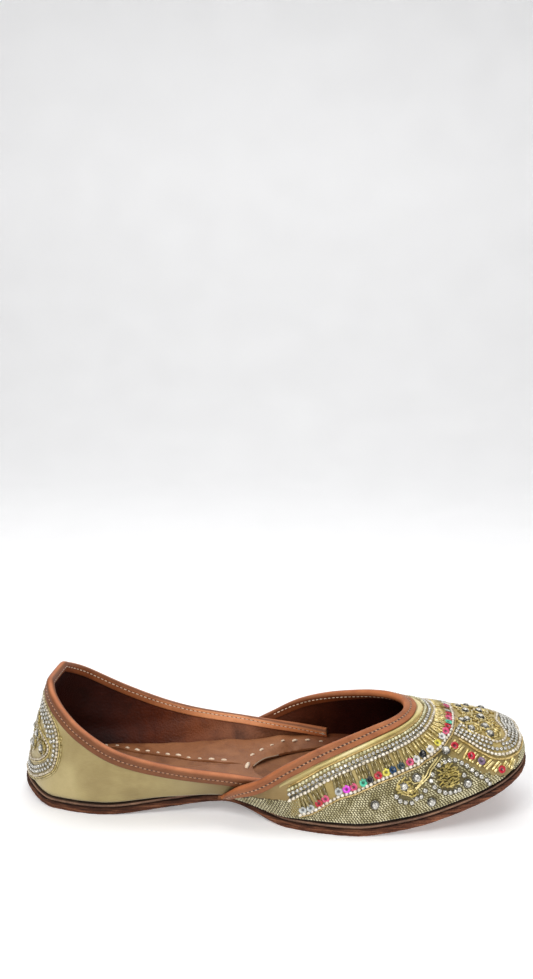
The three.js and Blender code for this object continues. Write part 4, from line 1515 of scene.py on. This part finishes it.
def build_toe_panel():
    outer = panel_line(PANEL_OUTER)
    inner = panel_line(PANEL_INNER)
    cord_line(toe_chart, beside(outer[6:-6], 1.4), 0.5, tint=(0.85, 0.7, 0.5, 1))
    bead_row(pale_heap, toe_chart, outer, 1.9, 0.8)
    fill_with_stones(toe_chart, outer, inner, (-1.8, -3.7, -5.6, -7.5), 2.0, 0.82)
    bead_row(pale_heap, toe_chart, inner, 1.75, 0.72)
    fill_with_bugles(inner)
    for centre in PANEL_CELLS:
        corners = hexagon(centre, CELL_RADIUS)
        lay_bugles(toe_chart, corners[:-1], corners[1:], 0.66)
        core = hexagon(centre, CELL_RADIUS - 1.6)
        lay_bugles(toe_chart, core[:-1], core[1:], 0.55, 0.7)
    for along, aside, radius in PANEL_STONES:
        at, up = toe_chart([(along, aside)])
        set_stones(at + up * 0.9, up, radius)
        silver_heap.add(CUP, at + up * 0.3, (1, 0, 0), up, radius * 1.25)


# Rays beside the toe panel, near side: x, y, z where each starts and ends
RAY_STARTS = [
    (217.1, -22.0, 38.7), (219.8, -23.4, 37.3), (222.9, -24.8, 35.6), (226.3, -25.6, 34.2), (230.0, -26.2, 32.6),
    (233.6, -26.3, 31.3), (237.4, -25.8, 30.3), (240.9, -24.7, 30.1), (244.5, -22.5, 31.1),
]
RAY_ENDS = [
    (214.5, -25.4, 36.6), (217.3, -26.0, 35.6), (220.8, -27.8, 33.0), (224.0, -27.8, 32.2), (227.8, -28.0, 31.0),
    (230.5, -28.4, 29.3), (234.4, -28.0, 27.9), (237.8, -27.2, 26.8), (241.2, -25.8, 26.7),
]
RAY_LENGTH = 5.6
RAY_PLACES = [(x, z) for x, _, z in RAY_STARTS + RAY_ENDS]
RAY_SEQUINS = [((215.6, 36.9), "red"), ((223.2, 33.3), "red"), ((227.9, 31.3), "lilac"), ((237.4, 27.6), "red")]


def on_vamp(points):
    """The nearest places on the vamp, and the way out there."""
    tree, face_normals = vamp_tree
    found = [tree.find_nearest(Vector(p)) for p in points]
    return np.array([hit for hit, _, _, _ in found]), np.array([face_normals[i] for _, _, i, _ in found])


def build_rays():
    a, up = on_vamp(RAY_STARTS)
    b, _ = on_vamp(RAY_ENDS)
    along = unit(b - a)
    # The first tube of each ray is tinted brighter and whiter than the second, as a painted highlight
    for shift, radius, shade in ((-0.65, 0.6, 1.7), (0.75, 0.66, 1.1)):
        aside = np.cross(up, along) * shift
        spots = a + along * RAY_LENGTH / 2 + aside + up * radius
        at, way, out = both_sides((spots, along, up))
        bugle_heap.add(bugle(RAY_LENGTH, radius), at, way, out, 1.0, (shade, 1.04 * shade, 1.25 * shade, 1))
    places = np.array([place for place, _ in RAY_SEQUINS])
    tints = [paint(*SEQUIN_PAINT[name]) for _, name in RAY_SEQUINS]
    seat, out = side_chart(places)
    at, out = both_sides((seat + out * 1.5, out))
    sequin_heap.add(SEQUIN, at, (1, 0, 0), out, 0.94, np.array(tints * 2), SEQUIN_SHADES)


# Side motif on the near side, (x, z) as seen from the side

ROUNDEL = (212.5, 26.2)
# Discs of bullion: centre, reach, strands, seed
BULLION = [((212.5, 26.2), 5.2, 44, 7), ((191.1, 22.9), 3.4, 22, 11), ((196.0, 20.4), 1.9, 8, 5)]
RING_STONES = [
    (212.9, 32.3), (215.7, 32.3), (218.7, 31.2), (221.2, 30.0), (223.6, 28.3), (225.7, 26.6), (228.0, 25.3),
    (230.6, 23.5), (232.0, 21.7), (210.7, 31.8), (207.8, 30.8), (204.5, 27.5), (203.9, 25.0), (205.5, 22.3),
    (207.8, 20.5), (210.6, 19.5), (213.0, 19.3), (215.4, 19.7), (217.4, 20.3), (219.6, 26.4),
]
ARC_STONES = [
    (187.6, 18.9), (189.4, 16.9), (191.9, 16.1), (194.8, 15.8), (197.0, 17.6), (199.2, 18.4), (201.1, 21.0),
]
BIG_STONES = [(221.3, 22.9), (211.5, 35.9), (197.1, 26.5), (191.1, 23.1), (204.1, 15.7), (177.5, 15.6)]
S_CORDS = [
    [(209.5, 34.3), (206.6, 31.6), (204.0, 29.1), (202.9, 26.8), (199.6, 24.1), (197.1, 22.0), (194.6, 19.8)],
    [(207.4, 33.8), (204.5, 31.1), (202.8, 29.3), (201.4, 27.0), (198.0, 23.5), (195.7, 21.6)],
    [(189.2, 25.8), (187.8, 23.4), (188.7, 21.4), (191.0, 19.8), (194.2, 19.0)],
    [(208.2, 30.5), (209.8, 31.6), (211.4, 31.0)],
    [(193.6, 26.8), (195.4, 24.4), (199.0, 25.0), (200.4, 27.6)],
]
CELL_BUGLES = [
    ((191.6, 20.9), (196.2, 21.6)), ((190.6, 21.2), (193.0, 20.2)), ((192.8, 21.9), (195.2, 23.0)),
]


def bullion(heap, chart, centre, reach, count, seed):
    """Short lengths of coiled wire, laid close together in a disc, most of them leaning one way."""
    random = np.random.default_rng(seed)
    step = np.linspace(-1, 1, 7)
    for n in range(count):
        far = reach * math.sqrt((n + 0.5) / count)
        turn = n * 2.39996
        middle = np.array(centre) + far * np.array([math.cos(turn), 0.93 * math.sin(turn)])
        way = random.normal(0.2, 0.35)
        half = random.uniform(0.9, 1.5)
        bow = random.uniform(-0.5, 0.5) * (1 - step**2)
        ahead = np.array([math.cos(way), math.sin(way)])
        line = middle + half * step[:, None] * ahead + bow[:, None] * np.array([-ahead[1], ahead[0]])
        points, normals = chart(line)
        lift = 0.45 + 0.5 * random.random()
        near = tube(points + normals * lift, normals, 0.46, 6, 0.9, 2, 0.14)
        shade = random.uniform(0.55, 1.15)
        for mesh in (near, mirror_mesh(near)):
            heap.add_mesh(mesh, (shade, shade, shade, 1))


def mirror_mesh(mesh):
    """The mesh on the other side of the shoe, its faces turned to point out again."""
    points, faces = mesh
    return points * (1, -1, 1), [group[:, ::-1] for group in faces]


def build_side_motif():
    for places, radius in ((RING_STONES, 1.0), (ARC_STONES, 1.0)):
        at, up = both_sides(side_chart(places))
        set_stones(at + up * 0.2, up, radius)
    at, up = both_sides(side_chart(BIG_STONES))
    set_stones(at + up * 0.9, up, 1.5)
    silver_heap.add(CUP, at + up * 0.2, (1, 0, 0), up, 1.8)
    for line in S_CORDS:
        points, normals = side_chart(rounded(line, steps=6))
        cord = tube(points + normals * 0.45, normals, 0.42, 8, 1.5, 2, 0.16)
        for mesh in (cord, mirror_mesh(cord)):
            cord_heap.add_mesh(mesh, (0.8, 0.74, 0.6, 1))
    starts = np.array([a for a, _ in CELL_BUGLES])
    ends = np.array([b for _, b in CELL_BUGLES])
    a, up = side_chart(starts)
    b, _ = side_chart(ends)
    at, way, out = both_sides(((a + b) / 2 + up * 0.7, b - a, up))
    bugle_heap.add(bugle(3.4, 0.62), at, way, out)
    for centre, reach, count, seed in BULLION:
        bullion(bullion_heap, side_chart, centre, reach, count, seed)


# Woven metal thread over the flank

ZARI_ROW = 1.02
ZARI_PITCH = 1.36
ZARI_SLANT = 0.7
PLAIN_ABOVE = 15.2


def near_any(points, places, reach):
    """Whether each point, seen from the side, is within reach of any place."""
    gap = points[:, None, [0, 2]] - np.asarray(places, float)[None]
    return (np.linalg.norm(gap, axis=-1) < reach).any(1)


def on_toe_board(points):
    """Where points fall on the toe board."""
    shift = points - TOE_ORIGIN
    slope = (math.cos(TOE_SLOPE), 0, -math.sin(TOE_SLOPE))
    return np.column_stack([shift @ slope, shift[:, 1]])


def build_zari():
    shape = stitch_shape(1.45, 0.84, 0.6, sides=6, rings=3)
    stations = np.linspace(-0.93, 0.93, 1400)
    length = vamp.section_length(stations)
    lower = seat_depth(stations) + LOWER_GAP + 1.4 - 20 * smooth_step(0.66, 0.72, np.abs(stations))
    for n, height in enumerate(np.arange(1.5, 46, ZARI_ROW)):
        v = vamp.v_below_top(stations, np.maximum(length - height, 0))
        line = vamp.face(stations, v)
        normals = vamp.normal(stations, v)
        depth = length - height
        behind = np.abs(stations) > 0.69
        keep = (depth > lower) & (~behind | (line[:, 2] < PLAIN_ABOVE))
        if keep.sum() < 4:
            continue
        at, along, up = space_out(line, normals, ZARI_PITCH)
        near = np.argmin(np.linalg.norm(at[:, None] - line[None], axis=-1), 1)
        at = at + along * ((n * 0.38) % 1) * ZARI_PITCH
        mirrored_at = at * (1, -1, 1)
        flat = np.where(at[:, 1:2] < 0, at, mirrored_at)
        toe = on_toe_board(at)
        covered = near_any(flat, [ROUNDEL], 6.0) | near_any(flat, RING_STONES + ARC_STONES, 1.3)
        covered |= near_any(flat, BIG_STONES, 2.5) | near_any(flat, S_CORDS[0] + S_CORDS[1], 1.4)
        covered |= in_panel(toe, PANEL_OUTER) | near_any(flat, [(191.5, 21.5)], 4.6)
        covered |= near_any(flat, RAY_PLACES, 2.8)
        chosen = keep[near] & ~covered
        at, along, up = at[chosen] + up[chosen] * 0.12, along[chosen], up[chosen]
        side = np.cross(up, along)
        slant = ZARI_SLANT * np.sign(at[:, 1:2] + 1e-9)
        shade = 0.9 - 0.18 * smooth_step(150, 128, at[:, 0])
        tint = np.column_stack([shade, shade, shade, np.ones(len(at))])
        sizes = 1 + 0.1 * np.sin(np.arange(len(at)) * 2.1)
        zari_heap.add(shape, at, along + side * slant, up, sizes, tint)


# Heel patch: half outline on the heel chart, (height, around), and its stones

HEEL_OUTLINE = [
    (46.4, 0), (46.2, 10.3), (44.9, 16.8), (42.2, 25.4), (40.2, 29.2), (37.9, 32.4), (35.3, 34.2), (32.4, 35.7),
    (28.6, 36.7), (24.4, 37.2), (19.6, 36.7), (15.8, 35.2), (9.9, 28.7), (4.9, 21.1), (2.6, 12), (2.0, 0),
]
HEEL_INNER = [
    (36.0, 0), (35.4, 8.0), (33.6, 14.0), (32.3, 17.6), (31.5, 21.6), (30.5, 26.0), (29.3, 29.6), (27.0, 32.0),
    (23.4, 32.0), (19.4, 29.6), (14.7, 24.2), (9.8, 14.8), (8.4, 7.0), (8.0, 0),
]
HEEL_STONES = [(23.7, 25.8, 1.6), (27.8, 18.4, 1.6), (20.4, 14.8, 1.5), (32.8, 13.2, 0.9), (26.4, 8.4, 1.5),
               (16.0, 6.6, 1.5), (30.6, 0.0, 1.5), (21.8, 0.0, 1.5), (12.4, 0.0, 1.2)]
HEEL_LOOP = (33.4, 36.6)


def build_heel_patch():
    outline = rounded(mirrored(HEEL_OUTLINE), steps=10)
    inner = rounded(mirrored(HEEL_INNER), steps=10)
    cord_line(heel_chart, beside(outline, -1.2), 0.38, tint=(0.7, 0.62, 0.45, 1))
    second = beside(outline, -2.2)
    for part in (second[:len(second) // 2], second[len(second) // 2:]):
        cord_line(heel_chart, part[part[:, 0] < 31], 0.32, tint=(0.6, 0.54, 0.42, 1))
    bead_row(pale_heap, heel_chart, outline, 1.9, 0.78, tint=(0.76, 0.72, 0.64, 1))
    fill_with_stones(heel_chart, outline, inner, (2.1, 4.3, 6.5), 2.5, 0.84)
    cord_line(heel_chart, inner, 0.42, tint=(0.7, 0.62, 0.45, 1))
    bead_row(pale_heap, heel_chart, beside(inner, 1.2), 1.7, 0.66, tint=(0.76, 0.72, 0.64, 1))
    for height, around, radius in HEEL_STONES:
        places = [(height, around), (height, -around)] if around else [(height, 0.0)]
        for centre in places:
            for reach, wide in ((3.7, 0.62), (2.4, 0.52)):
                corners = hexagon(centre, reach)
                lay_bugles(heel_chart, corners[:-1], corners[1:], wide, tint=(0.54, 0.52, 0.37, 1))
        at, up = heel_chart(places)
        set_stones(at + up * 0.5, up, radius)
        silver_heap.add(CUP, at, (0, 0, 1), up, radius * 1.25)
    ring = np.linspace(0, 2 * np.pi, 17)
    for side in (1, -1):
        height, around = HEEL_LOOP
        loop = np.column_stack([height + 1.2 * np.cos(ring), side * (around + 1.2 * np.sin(ring))])
        cord_line(heel_chart, loop, 0.36, tint=(0.7, 0.62, 0.45, 1))


bead_gold = foil("bead_gold", paint(176, 168, 120), paint(236, 230, 190), metallic=0.3, roughness=(0.2, 0.35))
bead_pale = foil("bead_pale", paint(206, 192, 166), paint(250, 242, 226), metallic=0.2, roughness=(0.2, 0.35))
chain_silver = foil("chain_silver", paint(70, 68, 62), paint(150, 146, 136), roughness=(0.25, 0.4), coat=0.1)
bugle_gold = foil("bugle_gold", paint(156, 134, 64), paint(222, 200, 128), metallic=0.4, roughness=(0.16, 0.3),
                  coat=1.0)
bullion_gold = foil("bullion_gold", paint(140, 122, 56), paint(206, 186, 112), metallic=0.5,
                    roughness=(0.25, 0.45), coat=0.1)
cord_gold = foil("cord_gold", paint(196, 182, 124), paint(240, 230, 180), metallic=0.35,
                 roughness=(0.2, 0.36), coat=0.2)
zari_thread = foil("zari_thread", paint(176, 166, 122), paint(236, 228, 190), metallic=0.35,
                   roughness=(0.28, 0.42), grain=5, coat=0.0)
silver = foil("silver_cup", paint(96, 94, 88), paint(176, 174, 166), roughness=(0.2, 0.35), coat=0.0)
crystal_look = foil("crystal_foil", paint(236, 231, 218), paint(255, 252, 242), metallic=0.2,
                    roughness=(0.03, 0.08), grain=1.4, coat=1.0)
sequin_look = foil("sequin_gloss", paint(225, 225, 225), paint(255, 255, 255), metallic=0.0,
                   roughness=(0.24, 0.34), coat=0.35)

build_sole()
build_inside()
build_upper()
build_binding_stitches()
build_strip()
build_bands()
build_bugles()
build_toe_panel()
build_rays()
build_side_motif()
build_zari()
build_heel_patch()
gold_heap.piece("gold_beads", bead_gold, "gold_bead")
pale_heap.piece("pale_beads", bead_pale, "gold_bead")
bugle_heap.piece("bugle_beads", bugle_gold, "gold_bead")
bullion_heap.piece("bullion", bullion_gold, "gold_bead")
cord_heap.piece("metal_cords", cord_gold, "gold_bead")
chain_heap.piece("silver_chain", chain_silver, "crystal")
zari_heap.piece("zari_thread", zari_thread, "upper_fabric")
silver_heap.piece("stone_cups", silver, "crystal")
crystal_heap.piece("stones", crystal_look, "crystal", smooth=False)
sequin_heap.piece("sequins", sequin_look, "sequin")


# Floor, light and camera

def build_stage():
    """A pale floor that curves up behind into a backdrop."""
    flat = [(-1.6, 0.0), (0.9, 0.0)]
    bend = [(0.9 + 0.5 * math.sin(t), 0.5 - 0.5 * math.cos(t)) for t in np.linspace(0, math.pi / 2, 17)[1:]]
    profile = flat + bend + [(1.4, 2.6)]
    half = 2.4
    points = [(side * half, y, z) for y, z in profile for side in (-1, 1)]
    faces = [(2 * i, 2 * i + 1, 2 * i + 3, 2 * i + 2) for i in range(len(profile) - 1)]
    mesh = bpy.data.meshes.new("floor")
    mesh.from_pydata(points, [], faces)
    mesh.polygons.foreach_set("use_smooth", [True] * len(faces))
    look = Look("pale_floor", roughness=0.9, specular=0.2)
    grain = look.noise(60, 3.0)
    look.colour(look.ramp(grain, (0.2, paint(240, 240, 241)), (0.8, paint(248, 248, 249))))
    look.shader.inputs["Emission Color"].default_value = (1, 1, 1, 1)
    look.shader.inputs["Emission Strength"].default_value = 0.22
    mesh.materials.append(look.material)
    floor = bpy.data.objects.new("floor", mesh)
    bpy.context.collection.objects.link(floor)


def area_light(name, place, target, size, power, colour=(1, 1, 1)):
    light = bpy.data.lights.new(name, "AREA")
    light.shape = "RECTANGLE"
    light.size, light.size_y = size
    light.energy = power
    light.color = colour
    lamp = bpy.data.objects.new(name, light)
    bpy.context.collection.objects.link(lamp)
    lamp.location = place
    lamp.rotation_euler = (Vector(target) - Vector(place)).to_track_quat("-Z", "Y").to_euler()


def build_light():
    shoe = (0.0, 0.0, 0.03)
    area_light("key", (-0.45, -0.75, 1.05), shoe, (0.7, 0.5), 7.5, (1.0, 0.985, 0.96))
    area_light("overhead", (0.1, 0.25, 1.2), shoe, (1.2, 0.7), 6.5, (1.0, 1.0, 1.0))
    area_light("fill", (0.35, -1.0, 0.42), shoe, (0.5, 0.35), 4.0, (1.0, 0.99, 0.97))
    world = bpy.data.worlds.new("studio")
    bpy.context.scene.world = world
    world.use_nodes = True
    tree = world.node_tree
    sky = tree.nodes["Background"]
    way = tree.nodes.new("ShaderNodeTexCoord").outputs["Generated"]
    parts = tree.nodes.new("ShaderNodeSeparateXYZ")
    tree.links.new(way, parts.inputs[0])
    reach = tree.nodes.new("ShaderNodeMapRange")
    tree.links.new(parts.outputs["Y"], reach.inputs["Value"])
    reach.inputs["From Min"].default_value = -0.7
    reach.inputs["From Max"].default_value = 0.3
    reach.inputs["To Min"].default_value = SKY_NEAR
    reach.inputs["To Max"].default_value = SKY_FAR
    tree.links.new(reach.outputs["Result"], sky.inputs["Strength"])
    sky.inputs["Color"].default_value = (0.97, 0.98, 1.0, 1)


# The studio is darker on the camera's side, which gives the stones their contrast
SKY_NEAR = 0.14
SKY_FAR = 0.42


# Fitted to the photograph's view of the shoe, in the row frame
CAMERA_PLACE = (0.02856, -0.45689, 0.23444)
CAMERA_DOWN = 9.63
CAMERA_TURN = 3.83
CAMERA_LENS = 34.886
CAMERA_SENSOR = 36.0


def build_camera():
    camera = bpy.data.cameras.new("camera")
    camera.lens = CAMERA_LENS
    camera.sensor_width = CAMERA_SENSOR
    camera.clip_start = 0.02
    rig = bpy.data.objects.new("camera", camera)
    bpy.context.collection.objects.link(rig)
    rig.location = CAMERA_PLACE
    rig.rotation_euler = (math.radians(90 - CAMERA_DOWN), 0, math.radians(CAMERA_TURN))
    bpy.context.scene.camera = rig


build_stage()
build_light()
build_camera()
bpy.context.scene.view_settings.view_transform = "Standard"

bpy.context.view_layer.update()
